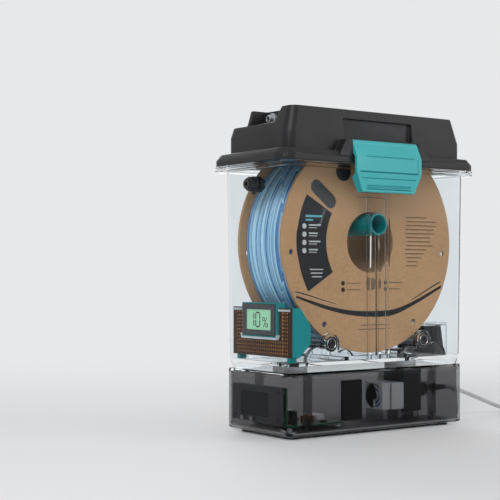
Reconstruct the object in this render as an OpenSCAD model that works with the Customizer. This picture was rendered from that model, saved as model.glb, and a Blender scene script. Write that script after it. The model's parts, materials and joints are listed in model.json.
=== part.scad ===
// Filament dryer box: a sealed clear spool box with a latched lid, standing on a heated base.
// Millimetres. X runs along the box, the front latch faces -Y, +Z is up.
// The origin is the centre of the footprint, on the plane of the feet.

/* [Spool] */
// Outer diameter of the spool
spool_d = 200; // [180:1:205]
// Width of the spool over its flanges
spool_w = 66; // [58:1:72]
// Bore of the spool
spool_bore = 55; // [50:1:60]
// Thickness of a spool flange
spool_flange_t = 3; // [2:0.5:4.5]
// Outer diameter of the drum under the filament
drum_d = 90; // [74:1:110]
// Wall of the drum and of the bore liner
drum_wall = 3; // [2:0.5:5]
// Outer diameter of the wound filament
winding_d = 186; // [130:1:192]
// Width of the slot through a flange
flange_slot_w = 13; // [8:0.5:16]
// Diameter of the small holes in a flange
flange_hole_d = 5; // [3:0.5:8]

/* [Rollers] */
// Diameter of a roller bar
roller_d = 10; // [8:0.5:12]
// Distance between the two roller axes
roller_span = 110; // [96:1:120]
// Height of the roller axes over the floor of the box
roller_h = 15.3; // [14:0.1:18]
// Diameter of the journals at the ends of a roller bar
journal_d = 5; // [4:0.5:6]
// Outer diameter of a bearing
bearing_d = 13; // [11:0.5:15]
// Width of a bearing
bearing_w = 4; // [3:0.5:5]
// Thickness of a cradle plate
cradle_t = 5; // [4.5:0.5:7]

/* [Box] */
// Wall of the clear box
box_wall = 2.2; // [1.8:0.1:3]
// Free space between the rim of the spool and an end wall, at the floor
spool_end_gap = 1.3; // [1:0.1:6]
// Free space between a spool flange and a broad wall, at the floor
spool_face_gap = 12.3; // [11:0.1:16]
// Outward lean of each wall from the floor to the flange
draft = 2; // [0.5:0.1:3]
// Height that the spool stands above the underside of the box flange
spool_rise = 36; // [30:1:44]
// Height of the chamfered foot of the box
base_h = 8.5; // [6:0.5:12]
// Inward lean of the chamfered foot
base_inset = 2.6; // [1:0.1:5]
// Thickness of the floor
floor_t = 3; // [2:0.5:4]
// Corner radius of the box
box_r = 10; // [6:0.5:14]
// Thickness of the flange at the mouth
flange_t = 4.4; // [3.5:0.1:6]
// Reach of the flange past the end walls
flange_out_x = 10.5; // [8:0.5:14]
// Reach of the flange past the broad walls
flange_out_y = 6.5; // [5.5:0.5:10]
// Spacing of the two guide ribs on a broad wall
rib_span = 22; // [21:0.5:30]
// Thickness of a guide rib
rib_t = 1.6; // [1.2:0.1:2.4]
// Depth of a guide rib
rib_depth = 4; // [3:0.5:6]

/* [Hub tube] */
// Outer diameter of the tube through the hub
tube_d = 20; // [14:0.5:20.5]
// Bore of the tube
tube_bore = 16.4; // [10:0.2:17]
// Free space between the tube and the top of the spool bore
tube_gap = 1.3; // [0.8:0.1:3]

/* [Lid] */
// Gap between the flange and the rim of the lid
lid_gap = 0.6; // [0.3:0.1:1.2]
// Step of the lid's rim inside the flange's edge
rim_inset = 0.5; // [0:0.1:1.5]
// Thickness of the rim of the lid
rim_t = 10.5; // [8:0.5:14]
// Size of the chamfer round the rim
rim_chamfer = 4; // [2:0.5:5]
// Corner radius of the rim and of the flange
rim_r = 14; // [12:0.5:20]
// Width of the ledge between rim and crown, at the ends
ledge_x = 12; // [8:0.5:16]
// Width of the ledge between rim and crown, on the broad sides
ledge_y = 9.5; // [8.5:0.5:12]
// Height of the upright part of the crown
crown_h = 15; // [12:0.5:18]
// Corner radius of the crown
crown_r = 9; // [7:0.5:14]
// Wall of the lid
lid_wall = 2.5; // [1.8:0.1:3]
// Free space between the spool and the low roof of the lid
lid_spool_gap = 1.5; // [1:0.1:5]
// Height of the raised front part over the low roof
ridge_h = 13.5; // [8:0.5:18]
// Lean of the crown at the ends
lean_x = 7; // [3:0.5:10]
// Lean of the crown on the broad sides
lean_y = 3; // [1:0.5:4]
// Back edge of the raised part
ridge_back_y = 18; // [10:0.5:24]
// Length of the outlet pocket
pocket_l = 23; // [18:0.5:30]
// Width of the outlet pocket at its floor
pocket_w = 37; // [28:0.5:40]
// Thickness of the fence behind the outlet pocket
fence_t = 4; // [3:0.5:6]
// Depth of the finger recess over a latch
recess_depth = 5; // [3:0.5:6]
// Width of the sealing ring
gasket_w = 3; // [2:0.5:4]

/* [Latch] */
// Width of a latch
latch_w = 77; // [60:1:90]
// Width of a latch at its lower edge
latch_tip_w = 62; // [48:1:70]
// Thickness of the latch plate
latch_t = 3; // [2.2:0.1:4]
// Distance that the latch face stands out from the flange
latch_proud = 4.5; // [4:0.1:6]
// Length of the latch below the underside of the flange
latch_drop = 20.5; // [16:0.5:30]
// Height of the tapered part of the latch
latch_taper_h = 18; // [12:0.5:24]
// Radius of the barrel at the top of the latch
barrel_r = 3.8; // [3.3:0.1:4.2]
// Diameter of the hinge pin
latch_pin_d = 3; // [2:0.1:3.4]
// Width of an ear beside the latch, at its top
ear_w = 7; // [5:0.5:12]
// Side clearance between latch and ear
ear_gap = 0.5; // [0.3:0.1:1]
// Reach of the hook under the flange
hook_catch = 1.5; // [0.5:0.1:1.6]
// Distance of the hook below the flange when shut
hook_drop = 2.1; // [2:0.1:3]

/* [End port] */
// Bore for the filament tube, at the end port and at the lid outlet
tube_port_d = 4.1; // [3:0.1:4.4]
// Diameter of the hole for the bare filament, behind the tube's stop
filament_hole_d = 2.6; // [2:0.1:2.9]
// Drop of the end port below the flange
end_port_drop = 13.5; // [12:0.5:40]
// Distance of the end port in front of the middle
end_port_off = 0; // [-10:0.5:10]
// Diameter of the threaded neck
neck_d = 8; // [7:0.5:9]
// Diameter of the outer knob
knob_d = 13; // [12:0.5:16]

/* [Desiccant unit] */
// Width of the desiccant case
case_w = 86; // [80:1:96]
// Depth of the case, from the grille to the back
case_depth = 21; // [17:0.5:21]
// Height of the case
case_h = 42.7; // [40:0.1:44]
// Height of the runners below the case
runner_h = 4.3; // [3.5:0.1:6]
// Wall of the case
case_wall = 1.8; // [1.2:0.1:2.5]
// Pitch of the grille's holes
grille_pitch = 3.2; // [3:0.1:5]
// Size of a hole in the grille
grille_hole = 2.1; // [1.5:0.1:2.6]
// Thickness of the grille
grille_t = 1.2; // [0.8:0.1:2]
// Width of the hygrometer
hygro_w = 48.6; // [40:0.2:52]
// Height of the hygrometer
hygro_h = 27; // [24:0.2:28]
// Depth of the hygrometer
hygro_depth = 9; // [7:0.5:11]
// Width of the hygrometer's window
lcd_w = 36.7; // [28:0.1:38]
// Height of the hygrometer's window
lcd_h = 18; // [12:0.1:20]

/* [Warm air hood] */
// Width of the hood
hood_w = 62; // [40:1:80]
// Height of the hood over the floor
hood_h = 30; // [24:0.5:31]
// Thickness of the foam filter
foam_t = 6.5; // [4:0.5:8]
// Lean of the foam filter over its height
foam_lean = 4.5; // [0:0.5:6]

/* [Dock] */
// Height of the dock, from the feet to the deck
dock_h = 57.5; // [54:0.5:66]
// Reach of the dock past the foot of the box at its ends
dock_out_x = 2.5; // [1:0.5:8]
// Reach of the dock past the foot of the box at its broad sides
dock_out_y = 2; // [1:0.5:8]
// Corner radius of the dock
dock_r = 15; // [12:0.5:20]
// Rounding of the dock's top edge
dock_top_r = 6; // [3:0.5:8]
// Rounding of the dock's bottom edge
dock_bottom_r = 10; // [6:0.5:11]
// Wall of the dock
dock_wall = 2.5; // [2:0.1:3]
// Thickness of the base plate
plate_t = 2.5; // [2:0.1:3]
// Height of the feet
foot_h = 2; // [1:0.2:4]
// Diameter of the feet
foot_d = 13; // [8:0.5:16]
// Distance of an air port from the middle
port_x = 66; // [62:0.5:68]
// Diameter of an air port
port_d = 22; // [18:0.5:24]
// Travel of an air valve
valve_travel = 3; // [1.5:0.1:3.5]
// Thickness of a valve disc
valve_t = 1.6; // [1.2:0.1:2]

/* [Dock display] */
// Width of the display frame
frame_w = 72; // [66:0.5:74]
// Height of the display frame
frame_h = 32; // [30:0.5:33]
// Width of the display
panel_w = 42; // [30:0.5:46]
// Shift of the display to the rear of the middle
panel_y = 2.5; // [-4:0.5:4]
// Height of the display
panel_h = 21; // [14:0.5:21.5]
// Diameter of a push button
button_d = 4.4; // [3:0.2:4.6]
// Travel of a push button
button_travel = 1; // [0.5:0.1:1.2]

/* [Heater] */
// Side of the square fan
fan_side = 25; // [22:0.5:27]
// Depth of the fan
fan_depth = 10; // [8:0.5:12]
// Length of the heater case behind the fan
heater_l = 15; // [12:0.5:18]
// Width of the heater case
heater_w = 29; // [27:0.5:32]
// Left end of the fan
fan_x = 32.6; // [24:0.1:34]
// Height of the fan's underside over the feet's plane
fan_z = 14.9; // [12:0.1:16]

/* [Power lead] */
// Diameter of the lead
cord_d = 4; // [3.5:0.1:5]
// Height of the power socket
jack_z = 31; // [28:0.5:34]
// Outer diameter of the plug's barrel
barrel_d = 5.5; // [4:0.1:6]
// Length of the plug's barrel
barrel_l = 9.5; // [8:0.5:10.5]
// Mean diameter of the coil
coil_d = 44; // [40:1:48]
// Turns that lie side by side in the coil
coil_columns = 2; // [2:1:4]
// Turns that lie on each other in the coil
coil_layers = 4; // [2:1:5]
// Length of the power adapter
adapter_l = 72; // [60:1:90]
// Width of the power adapter
adapter_w = 42; // [34:1:50]
// Height of the power adapter
adapter_h = 29; // [24:1:36]

/* [Hidden] */

eps = 0.01;          // overlap of a cutter past a face
bore_fn = 48;        // smoothness of round parts
hull_fn = 32;        // smoothness of the corners inside a hull
seat_gap = 0.3;      // a spool on its rollers
turn_gap = 0.3;      // curved faces of different bodies
run_gap = 0.05;      // a shaft in its bearing
fit_gap = 0.05;      // a pin or peg in its hole

// Heights, from the feet up
deck_z = dock_h;
floor_z = deck_z + base_h;
roller_z = floor_z + roller_h;
spool_r = spool_d / 2;
roller_r = roller_d / 2;
roller_x = roller_span / 2;
roller_reach = spool_r + roller_r + seat_gap;
spool_z = roller_z + sqrt(roller_reach * roller_reach - roller_x * roller_x);
spool_top = spool_z + spool_r;
flange_z0 = spool_top - spool_rise;
flange_z1 = flange_z0 + flange_t;
rim_z0 = flange_z1 + lid_gap;
rim_z1 = rim_z0 + rim_t;
crown_z = rim_z1 + crown_h;
roof_z = spool_top + lid_spool_gap + lid_wall;
ridge_z = roof_z + ridge_h;

// Half lengths and half widths
box_x0 = spool_r + spool_end_gap + box_wall;
case_side_gap = 1.5; // least free space beside the desiccant case
box_y0 = max(spool_w / 2 + spool_face_gap, case_w / 2 + case_side_gap) + box_wall;
box_x1 = box_x0 + draft;
box_y1 = box_y0 + draft;
foot_x = box_x0 - base_inset;
foot_y = box_y0 - base_inset;
flange_x = box_x1 + flange_out_x;
flange_y = box_y1 + flange_out_y;
rim_x = flange_x - rim_inset;
rim_y = flange_y - rim_inset;
crown_x = rim_x - ledge_x;
crown_y = rim_y - ledge_y;
top_x = crown_x - lean_x;
top_y = crown_y - lean_y;
dock_x = box_x0 + dock_out_x;
dock_y = box_y0 + dock_out_y;

// Half length and half width of the box's outside, and of its inside, at a height
function box_x_at(z) = box_x0 + draft * (z - floor_z) / (flange_z0 - floor_z);
function box_y_at(z) = box_y0 + draft * (z - floor_z) / (flange_z0 - floor_z);
function in_x_at(z) = box_x_at(z) - box_wall;
function in_y_at(z) = box_y_at(z) - box_wall;

// Shared shapes

// A flat rectangle with round corners, of half sizes x and y
module rounded(x, y, r) {
    square([2 * (x - r), 2 * y], center = true);
    square([2 * x, 2 * (y - r)], center = true);
    for (sx = [-1, 1], sy = [-1, 1])
        translate([sx * (x - r), sy * (y - r)])
            circle(r = r, $fn = hull_fn);
}

// An upright slab on that rectangle, from z0 to z1
module slab(x, y, r, z0, z1) {
    translate([0, 0, z0])
        linear_extrude(z1 - z0)
            rounded(x, y, r);
}

// A slab whose outline changes evenly from [x, y, r] at z0 to [x, y, r] at z1
module leaning(low, z0, high, z1) {
    hull() {
        slab(low[0], low[1], low[2], z0, z0 + eps);
        slab(high[0], high[1], high[2], z1 - eps, z1);
    }
}

// A block between two corners
module block(low, high) {
    translate(low)
        cube([high[0] - low[0], high[1] - low[1], high[2] - low[2]]);
}

// A round bar along X, from x0 to x1
module bar_x(d, x0, x1, y, z, fn = bore_fn) {
    translate([x0, y, z])
        rotate([0, 90, 0])
            cylinder(d = d, h = x1 - x0, $fn = fn);
}

// A round bar along Y, from y0 to y1
module bar_y(d, x, y0, y1, z, fn = bore_fn) {
    translate([x, y1, z])
        rotate([90, 0, 0])
            cylinder(d = d, h = y1 - y0, $fn = fn);
}

// Extrudes an outline drawn in Y and Z along X, over a length l about the middle
module along_x(l) {
    rotate([90, 0, 90])
        linear_extrude(l, center = true)
            children();
}

// Extrudes an outline drawn in X and Z along Y, from y0 to y1
module along_y(y0, y1) {
    translate([0, y1, 0])
        rotate([90, 0, 0])
            linear_extrude(y1 - y0)
                children();
}

// The front half of the model and its copy turned half round, for the rear
module at_rear() {
    rotate([0, 0, 180])
        children();
}

// Dock

dock_z0 = foot_h;
plate_top = dock_z0 + plate_t;
plate_gap = 0.3;
dock_in_x = dock_x - dock_wall;
dock_in_y = dock_y - dock_wall;
under_deck = deck_z - dock_wall;
boss_x = dock_x - 32;
boss_y = dock_y - 14.5;
boss_d = 8;
screw_d = 3;
screw_l = 12;
screw_head_d = 5.6;
screw_head_t = 1.6;
pin_d = 5;
hub_d = 9;
spoke_t = 2;
pin_gap = 0.2;
valve_z = floor_z + valve_travel;
stem_z = floor_z - floor_t - 1;
gasket_gap = 0.3;
gasket_ring = 4;
frame_z0 = 12.4;
frame_t = 3;
frame_clear = 0.3;
window_z = frame_z0 + frame_h - panel_h - 5.5;
button_z = frame_z0 + 2.6;
button_ys = [panel_y + 15.9, panel_y + 1.9];
button_proud = 0.8;
button_play = 0.2;
frame_hole_in = 4;
frame_hole_d = 2.4;
spacer_d = 5;
board_t = 1.6;

// The dock's outside or inside, shrunk by a wall
module dock_form(inset) {
    x = dock_x - inset;
    y = dock_y - inset;
    z0 = dock_z0 + inset;
    z1 = deck_z - inset;
    rt = dock_top_r - inset / 2;
    rb = dock_bottom_r - inset / 2;
    intersection() {
        slab(x, y, dock_r - inset, z0, z1);
        along_y(-y, y)
            pillow(x, z0, z1, rt, rb);
        along_x(2 * x)
            pillow(y, z0, z1, rt, rb);
    }
}

// The outline of a pillow with round top edges and rounder bottom edges
module pillow(x, z0, z1, rt, rb) {
    translate([-x + rb, z0])
        square([2 * (x - rb), rb]);
    translate([-x, z0 + rb])
        square([2 * x, z1 - z0 - rb - rt]);
    translate([-x + rt, z1 - rt])
        square([2 * (x - rt), rt]);
    for (s = [-1, 1]) {
        translate([s * (x - rb), z0 + rb])
            circle(r = rb, $fn = bore_fn);
        translate([s * (x - rt), z1 - rt])
            circle(r = rt, $fn = bore_fn);
    }
}

// A round hole with three spokes and a hub left in it
module spoked_hole(x, z0, z1) {
    translate([x, 0, z0])
        difference() {
            cylinder(d = port_d, h = z1 - z0, $fn = bore_fn);
            translate([0, 0, -eps])
                cylinder(d = hub_d, h = z1 - z0 + 2 * eps, $fn = bore_fn);
            for (a = [0, 120, 240])
                rotate([0, 0, a])
                    translate([0, -spoke_t / 2, -eps])
                        cube([port_d, spoke_t, z1 - z0 + 2 * eps]);
        }
}

module at_bosses() {
    for (sx = [-1, 1], sy = [-1, 1])
        translate([sx * boss_x, sy * boss_y, 0])
            children();
}

module dock_shell() {
    color([0.16, 0.16, 0.17, 0.6])
        difference() {
            union() {
                difference() {
                    dock_form(0);
                    dock_form(dock_wall);
                    // open underside, where the base plate sits
                    slab(dock_x - dock_bottom_r + plate_gap, dock_y - dock_bottom_r + plate_gap,
                        dock_r - dock_bottom_r + 2, dock_z0 - 1, dock_z0 + dock_wall + eps);
                }
                at_bosses()
                    translate([0, 0, plate_top])
                        cylinder(d = boss_d, h = under_deck - plate_top + eps, $fn = bore_fn);
                for (s = [-1, 1])
                    translate([s * port_x, 0, under_deck])
                        cylinder(d = pin_d, h = stem_z - pin_gap - under_deck, $fn = bore_fn);
                // sleeve round the plug
                bar_x(plug_d + 2 * plug_gap + 2 * sleeve_wall, plug_x0, dock_in_x + eps, 0, jack_z);
            }
            for (s = [-1, 1])
                spoked_hole(s * port_x, under_deck - eps, deck_z + eps);
            at_bosses()
                translate([0, 0, plate_top - eps])
                    cylinder(d = screw_d + 2 * fit_gap, h = screw_l, $fn = bore_fn);
            bar_x(plug_d + 2 * plug_gap, plug_x0 - eps, dock_x + 1, 0, jack_z);
            for (y = button_ys)
                bar_x(button_d + 2 * button_play, -dock_x - 1, -dock_in_x + 1, y, button_z);
        }
}

module dock_base_plate() {
    slot_w = 3;
    slot_l = 40;
    slot_pitch = 7;
    color([0.10, 0.10, 0.11])
        difference() {
            slab(dock_x - dock_bottom_r, dock_y - dock_bottom_r, dock_r - dock_bottom_r + 2,
                dock_z0, plate_top);
            at_bosses() {
                translate([0, 0, dock_z0 - eps])
                    cylinder(d = screw_d + 0.4, h = plate_t + 2 * eps, $fn = bore_fn);
                translate([0, 0, dock_z0 - eps])
                    cylinder(d = screw_head_d + 0.6, h = screw_head_t + 0.1, $fn = bore_fn);
            }
            // air intake under the fan
            for (i = [-2:2])
                translate([fan_x - 12 + i * slot_pitch, 0, dock_z0 + plate_t / 2])
                    cube([slot_w, slot_l, plate_t + 2 * eps], center = true);
        }
}

module dock_feet() {
    color([0.05, 0.05, 0.05])
        for (sx = [-1, 1], sy = [-1, 1])
            translate([sx * (dock_x - dock_bottom_r - foot_d / 2 - 1),
                       sy * (dock_y - dock_bottom_r - foot_d / 2 - 1), 0])
                difference() {
                    cylinder(d = foot_d, h = foot_h, $fn = bore_fn);
                    translate([0, 0, -eps])
                        cylinder(d = foot_d / 3, h = foot_h / 4, $fn = bore_fn);
                }
}

module dock_screws() {
    color([0.55, 0.55, 0.57])
        at_bosses() {
            translate([0, 0, dock_z0])
                difference() {
                    cylinder(d = screw_head_d, h = screw_head_t, $fn = bore_fn);
                    for (a = [0, 90])
                        rotate([0, 0, a])
                            cube([screw_head_d * 0.6, 0.8, 1.4], center = true);
                }
            translate([0, 0, dock_z0 + screw_head_t])
                cylinder(d = screw_d, h = screw_l - 2, $fn = bore_fn);
        }
}

frame_x0 = -dock_in_x;
panel_x = frame_x0 + frame_t;
board_x = frame_x0 + frame_t + 2.5;

module display_frame() {
    color([0.2, 0.2, 0.21])
        difference() {
            intersection() {
                block([frame_x0 - 1, -frame_w / 2, frame_z0], [panel_x, frame_w / 2, frame_z0 + frame_h]);
                dock_form(dock_wall + fit_gap);
            }
            block([frame_x0 - 2, panel_y - panel_w / 2, window_z],
                [panel_x + 1, panel_y + panel_w / 2, window_z + panel_h]);
            for (y = button_ys)
                bar_x(button_d + 2 * button_play, frame_x0 - 1, panel_x + 1, y, button_z);
            // corner screw holes
            for (sy = [-1, 1], sz = [0, 1])
                bar_x(frame_hole_d, frame_x0 - 1, panel_x + 1, sy * (frame_w / 2 - frame_hole_in),
                    frame_z0 + frame_hole_in + sz * (frame_h - 2 * frame_hole_in));
        }
}

module display_panel() {
    color([0.05, 0.06, 0.08])
        block([frame_x0 + 0.8, panel_y - panel_w / 2 + frame_clear, window_z + frame_clear],
            [board_x, panel_y + panel_w / 2 - frame_clear, window_z + panel_h - frame_clear]);
}

module display_board() {
    color([0.04, 0.25, 0.14]) {
        block([board_x, -frame_w / 2, frame_z0], [board_x + board_t, frame_w / 2, frame_z0 + frame_h]);
        // spacers that carry the board behind the frame
        for (sy = [-1, 1], sz = [0, 1])
            bar_x(spacer_d, panel_x, board_x, sy * (frame_w / 2 - frame_hole_in),
                frame_z0 + frame_hole_in + sz * (frame_h - 2 * frame_hole_in));
        // switches behind the buttons
        for (y = button_ys)
            block([board_x - 0.6, y - 2, button_z - 2], [board_x, y + 2, button_z + 2]);
    }
}

module push_button(y) {
    color([0.75, 0.76, 0.78])
        bar_x(button_d, -dock_x - button_proud, board_x - 0.6 - button_travel - 0.1, y, button_z);
}

module power_button() {
    push_button(button_ys[0]);
}

module timer_button() {
    push_button(button_ys[1]);
}

board_l = 62;
board_stand = 4;
board_behind = 6;
board_side = 17.5;
post_d = 5;
can_d = 8;
can_h = 12;
choke_d = 12;
choke_h = 6;
relay_at = [8, 10];
relay_size = [20, 10, 8];
header_size = [8, 20, 5];

module control_board() {
    z0 = plate_top + board_stand;
    x0 = board_x + board_t + board_behind;
    x1 = x0 + board_l;
    y1 = dock_in_y - board_side;
    inset = post_d / 2 + 1.5;
    color([0.05, 0.22, 0.12]) {
        block([x0, -y1, z0], [x1, y1, z0 + board_t]);
        for (sx = [x0 + inset, x1 - inset], sy = [-1, 1])
            translate([sx, sy * (y1 - inset), plate_top])
                cylinder(d = post_d, h = board_stand, $fn = bore_fn);
        // capacitors, a coil, a relay and a connector
        for (i = [0, 1])
            translate([x0 + 1.75 * can_d, -can_d * 2.25 + i * can_d * 1.25, z0 + board_t])
                cylinder(d = can_d, h = can_h, $fn = bore_fn);
        translate([x0 + 34 / 12 * choke_d, -choke_d, z0 + board_t])
            cylinder(d = choke_d, h = choke_h, $fn = bore_fn);
        translate([x0 + relay_at[0], relay_at[1], z0 + board_t])
            cube(relay_size);
        translate([x1 - 1.5 * header_size[0], -0.3 * header_size[1], z0 + board_t])
            cube(header_size);
    }
}

module air_baffle() {
    x0 = -45;
    w = 23;
    t = 2;
    color([0.07, 0.07, 0.08])
        block([x0, -dock_in_y, dock_z0 + dock_bottom_r + 1.5],
            [x0 + w, -dock_in_y + t, under_deck - dock_top_r]);
}

// Fan and heater

fan_y = fan_side / 2;
fan_mid = fan_z + fan_side / 2;
fan_bore = fan_side - 2;
fan_hub_d = 11;
fan_tip_gap = 0.6;
heater_x0 = fan_x + fan_depth;
heater_x1 = heater_x0 + heater_l;
duct_x1 = port_x + port_d / 2 + 3;
duct_wall = 1.5;

module fan_frame() {
    color([0.85, 0.87, 0.9])
        difference() {
            block([fan_x, -fan_y, fan_z], [heater_x0, fan_y, fan_z + fan_side]);
            bar_x(fan_bore, fan_x + 1.5, heater_x0 + 1, 0, fan_mid);
            // guard: rings and a cross left in the inlet
            difference() {
                bar_x(fan_bore, fan_x - 1, fan_x + 1.6, 0, fan_mid);
                for (d = [fan_hub_d, fan_bore - 4])
                    difference() {
                        bar_x(d, fan_x - 1, fan_x + 2, 0, fan_mid);
                        bar_x(d - 2, fan_x - 2, fan_x + 3, 0, fan_mid);
                    }
                for (a = [0, 90])
                    translate([fan_x, 0, fan_mid])
                        rotate([a, 0, 0])
                            cube([4, 1.2, fan_side], center = true);
            }
        }
    // motor holder with its shaft on three struts, behind the blades
    color([0.85, 0.87, 0.9]) {
        bar_x(fan_hub_d, heater_x0 - 1.6, heater_x0, 0, fan_mid);
        bar_x(2, fan_x + 3.2, heater_x0 - 1.5, 0, fan_mid);
        for (a = [90, 210, 330])
            translate([heater_x0 - 1.6, 0, fan_mid])
                rotate([a, 0, 0])
                    translate([0, fan_hub_d / 2 - 1, -0.75])
                        cube([1.6, (fan_bore - fan_hub_d) / 2 + 1.4, 1.5]);
    }
}

module fan_rotor() {
    x0 = fan_x + 2.2;
    x1 = heater_x0 - 2.2;
    color([0.2, 0.35, 0.5])
        translate([x0, 0, fan_mid])
            rotate([0, 90, 0])
                difference() {
                    union() {
                        cylinder(d = fan_hub_d - 0.6, h = x1 - x0, $fn = bore_fn);
                        for (i = [0:6])
                            rotate([0, 0, i * 360 / 7])
                                translate([3, 0, (x1 - x0) / 2])
                                    rotate([38, 0, 0])
                                        translate([0, -0.5, -(x1 - x0) / 2 + 0.6])
                                            cube([fan_bore / 2 - 3 - fan_tip_gap, 1, x1 - x0 - 1.2]);
                    }
                    translate([0, 0, -eps])
                        cylinder(d = 2 + 2 * run_gap, h = x1 - x0 + 2 * eps, $fn = bore_fn);
                }
}

module heater_case() {
    y = heater_w / 2;
    z1 = fan_z + fan_side;
    color([0.93, 0.94, 0.95])
        difference() {
            block([heater_x0, -y, fan_z], [heater_x1, y, z1]);
            block([heater_x0 - 1, -y + duct_wall, fan_z + duct_wall],
                [heater_x1 + 1, y - duct_wall, z1 - duct_wall]);
        }
}

module heater_core() {
    y = heater_w / 2 - duct_wall;
    z0 = fan_z + duct_wall;
    z1 = fan_z + fan_side - duct_wall;
    bar_t = 2;
    fin_t = 0.8;
    pitch = 3.4;
    count = floor((z1 - z0 - bar_t) / pitch);
    x0 = heater_x0 + 2.5;
    x1 = heater_x1 - 1.5;
    color([0.78, 0.78, 0.8]) {
        for (s = [-1, 1])
            block([x0, s > 0 ? y - bar_t : -y, z0], [x1, s > 0 ? y : -y + bar_t, z1]);
        for (i = [1:count])
            block([x0, -y + bar_t - eps, z0 + i * pitch], [x1, y - bar_t + eps, z0 + i * pitch + fin_t]);
    }
}

module warm_air_duct() {
    y = heater_w / 2;
    z0 = fan_z - 3;
    color([0.09, 0.09, 0.1])
        difference() {
            block([heater_x1, -y, z0], [duct_x1, y, under_deck]);
            block([heater_x1 + duct_wall, -y + duct_wall, z0 + duct_wall],
                [duct_x1 - duct_wall, y - duct_wall, under_deck - duct_wall]);
            // inlet from the heater, outlet to the port
            block([heater_x1 - 1, -y + duct_wall, fan_z + duct_wall],
                [heater_x1 + 2 * duct_wall, y - duct_wall, fan_z + fan_side - duct_wall]);
            translate([port_x, 0, under_deck - 2 * duct_wall])
                cylinder(d = port_d, h = 4 * duct_wall, $fn = bore_fn);
        }
}

module heater_bracket() {
    y = heater_w / 2 - 2;
    t = 1.5;
    color([0.5, 0.5, 0.52])
        for (x = [fan_x + 1, heater_x1 - 6, duct_x1 - 8])
            block([x, -y, plate_top], [x + 5, y, x > heater_x1 ? fan_z - 3 : fan_z]);
}

module port_gaskets() {
    color([0.12, 0.12, 0.12])
        for (s = [-1, 1])
            translate([s * port_x, 0, deck_z])
                difference() {
                    cylinder(d = port_d + 2 * gasket_ring, h = base_h - floor_t - gasket_gap, $fn = bore_fn);
                    translate([0, 0, -1])
                        cylinder(d = port_d + 1, h = base_h, $fn = bore_fn);
                }
}

// Power lead

plug_d = 9.6;
plug_gap = 0.4;
sleeve_wall = 1.8;
plug_x0 = dock_in_x - 11;
plug_x1 = dock_x + 1.5;
relief_x1 = plug_x1 + 17;
relief_d0 = 7.6;
relief_d1 = cord_d + 0.8;
socket_l = 12;
socket_y = 6;
socket_z = 6.5;
coil_at = [251, -22];
coil_wide = coil_columns * cord_d;
coil_high = coil_layers * cord_d;
adapter_at = [259, -86];
adapter_gap = 0.3;
adapter_lead_z = 12;
adapter_relief_l = 8;
relief_x0 = adapter_at[0] - adapter_l / 2 - adapter_relief_l;

module power_socket() {
    color([0.08, 0.08, 0.09])
        difference() {
            union() {
                block([plug_x0 - socket_l, -socket_y, jack_z - socket_z],
                    [plug_x0, socket_y, jack_z + socket_z]);
                // foot down to the base plate
                block([plug_x0 - socket_l, -socket_y, plate_top],
                    [plug_x0 - socket_l + 4, socket_y, jack_z]);
            }
            difference() {
                bar_x(barrel_d + 0.4, plug_x0 - barrel_l - 0.5, plug_x0 + 1, 0, jack_z);
                bar_x(2, plug_x0 - barrel_l - 1, plug_x0 - 1, 0, jack_z, 24);
            }
        }
}

module power_plug() {
    color([0.8, 0.8, 0.8])
        difference() {
            union() {
                bar_x(barrel_d, plug_x0 - barrel_l, plug_x0 + 1, 0, jack_z);
                bar_x(plug_d, plug_x0, plug_x1, 0, jack_z);
                translate([plug_x1 - eps, 0, jack_z])
                    rotate([0, 90, 0])
                        cylinder(d1 = relief_d0, d2 = relief_d1, h = relief_x1 - plug_x1 + eps,
                            $fn = bore_fn);
            }
            bar_x(2.5, plug_x0 - barrel_l - 1, plug_x0 - 0.5, 0, jack_z, 24);
        }
}

// Points along the lead, from the plug to the coil
lead_path = [
    [relief_x1 + 0.1, 0, jack_z], [128, 0, 30.8], [135, 0, 29.6], [144, 0, 27], [155, 0, 23.5],
    [166, 0, 19.5], [177, 0, 15.5], [188, 0, 11.5], [199, -0.5, 7.5], [209, -1.5, 4.4],
    [219, -1.8, 2.6], [228, -1.2, 2], [237, 0.4, 2], [245, 1.6, 2], [251, 2, 2]
];

// Points from the coil to the adapter
tail_path = [
    [251, -46, 14], [243, -46, 13.9], [236, -46, 11.5], [229, -46, 8], [222, -46, 4.6],
    [215.5, -46, 2.6], [208, -46.8, 2], [200, -50.8, 2], [195, -57.5, 2], [193.2, -66, 2.4],
    [195, -74.5, 4.6], [200, -81.2, 8], [206, -84.8, 10.6],
    [relief_x0 - 4, adapter_at[1], adapter_lead_z - 0.2],
    [relief_x0 - 0.1, adapter_at[1], adapter_lead_z]
];

// Places on a smooth curve through the points, in steps of a third of each span
function curve_at(p, i, t) =
    let (a = p[max(i - 1, 0)], b = p[i], c = p[i + 1], d = p[min(i + 2, len(p) - 1)])
    0.5 * ((2 * b) + (c - a) * t + (2 * a - 5 * b + 4 * c - d) * t * t
        + (3 * b - a - 3 * c + d) * t * t * t);
function smooth_path(p, n) = [
    for (i = [0:len(p) - 2], k = [0:n - 1]) curve_at(p, i, k / n),
    p[len(p) - 1]
];
function unit(v) = v / norm(v);
function heading(p, i) = unit(p[min(i + 1, len(p) - 1)] - p[max(i - 1, 0)]);

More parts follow.
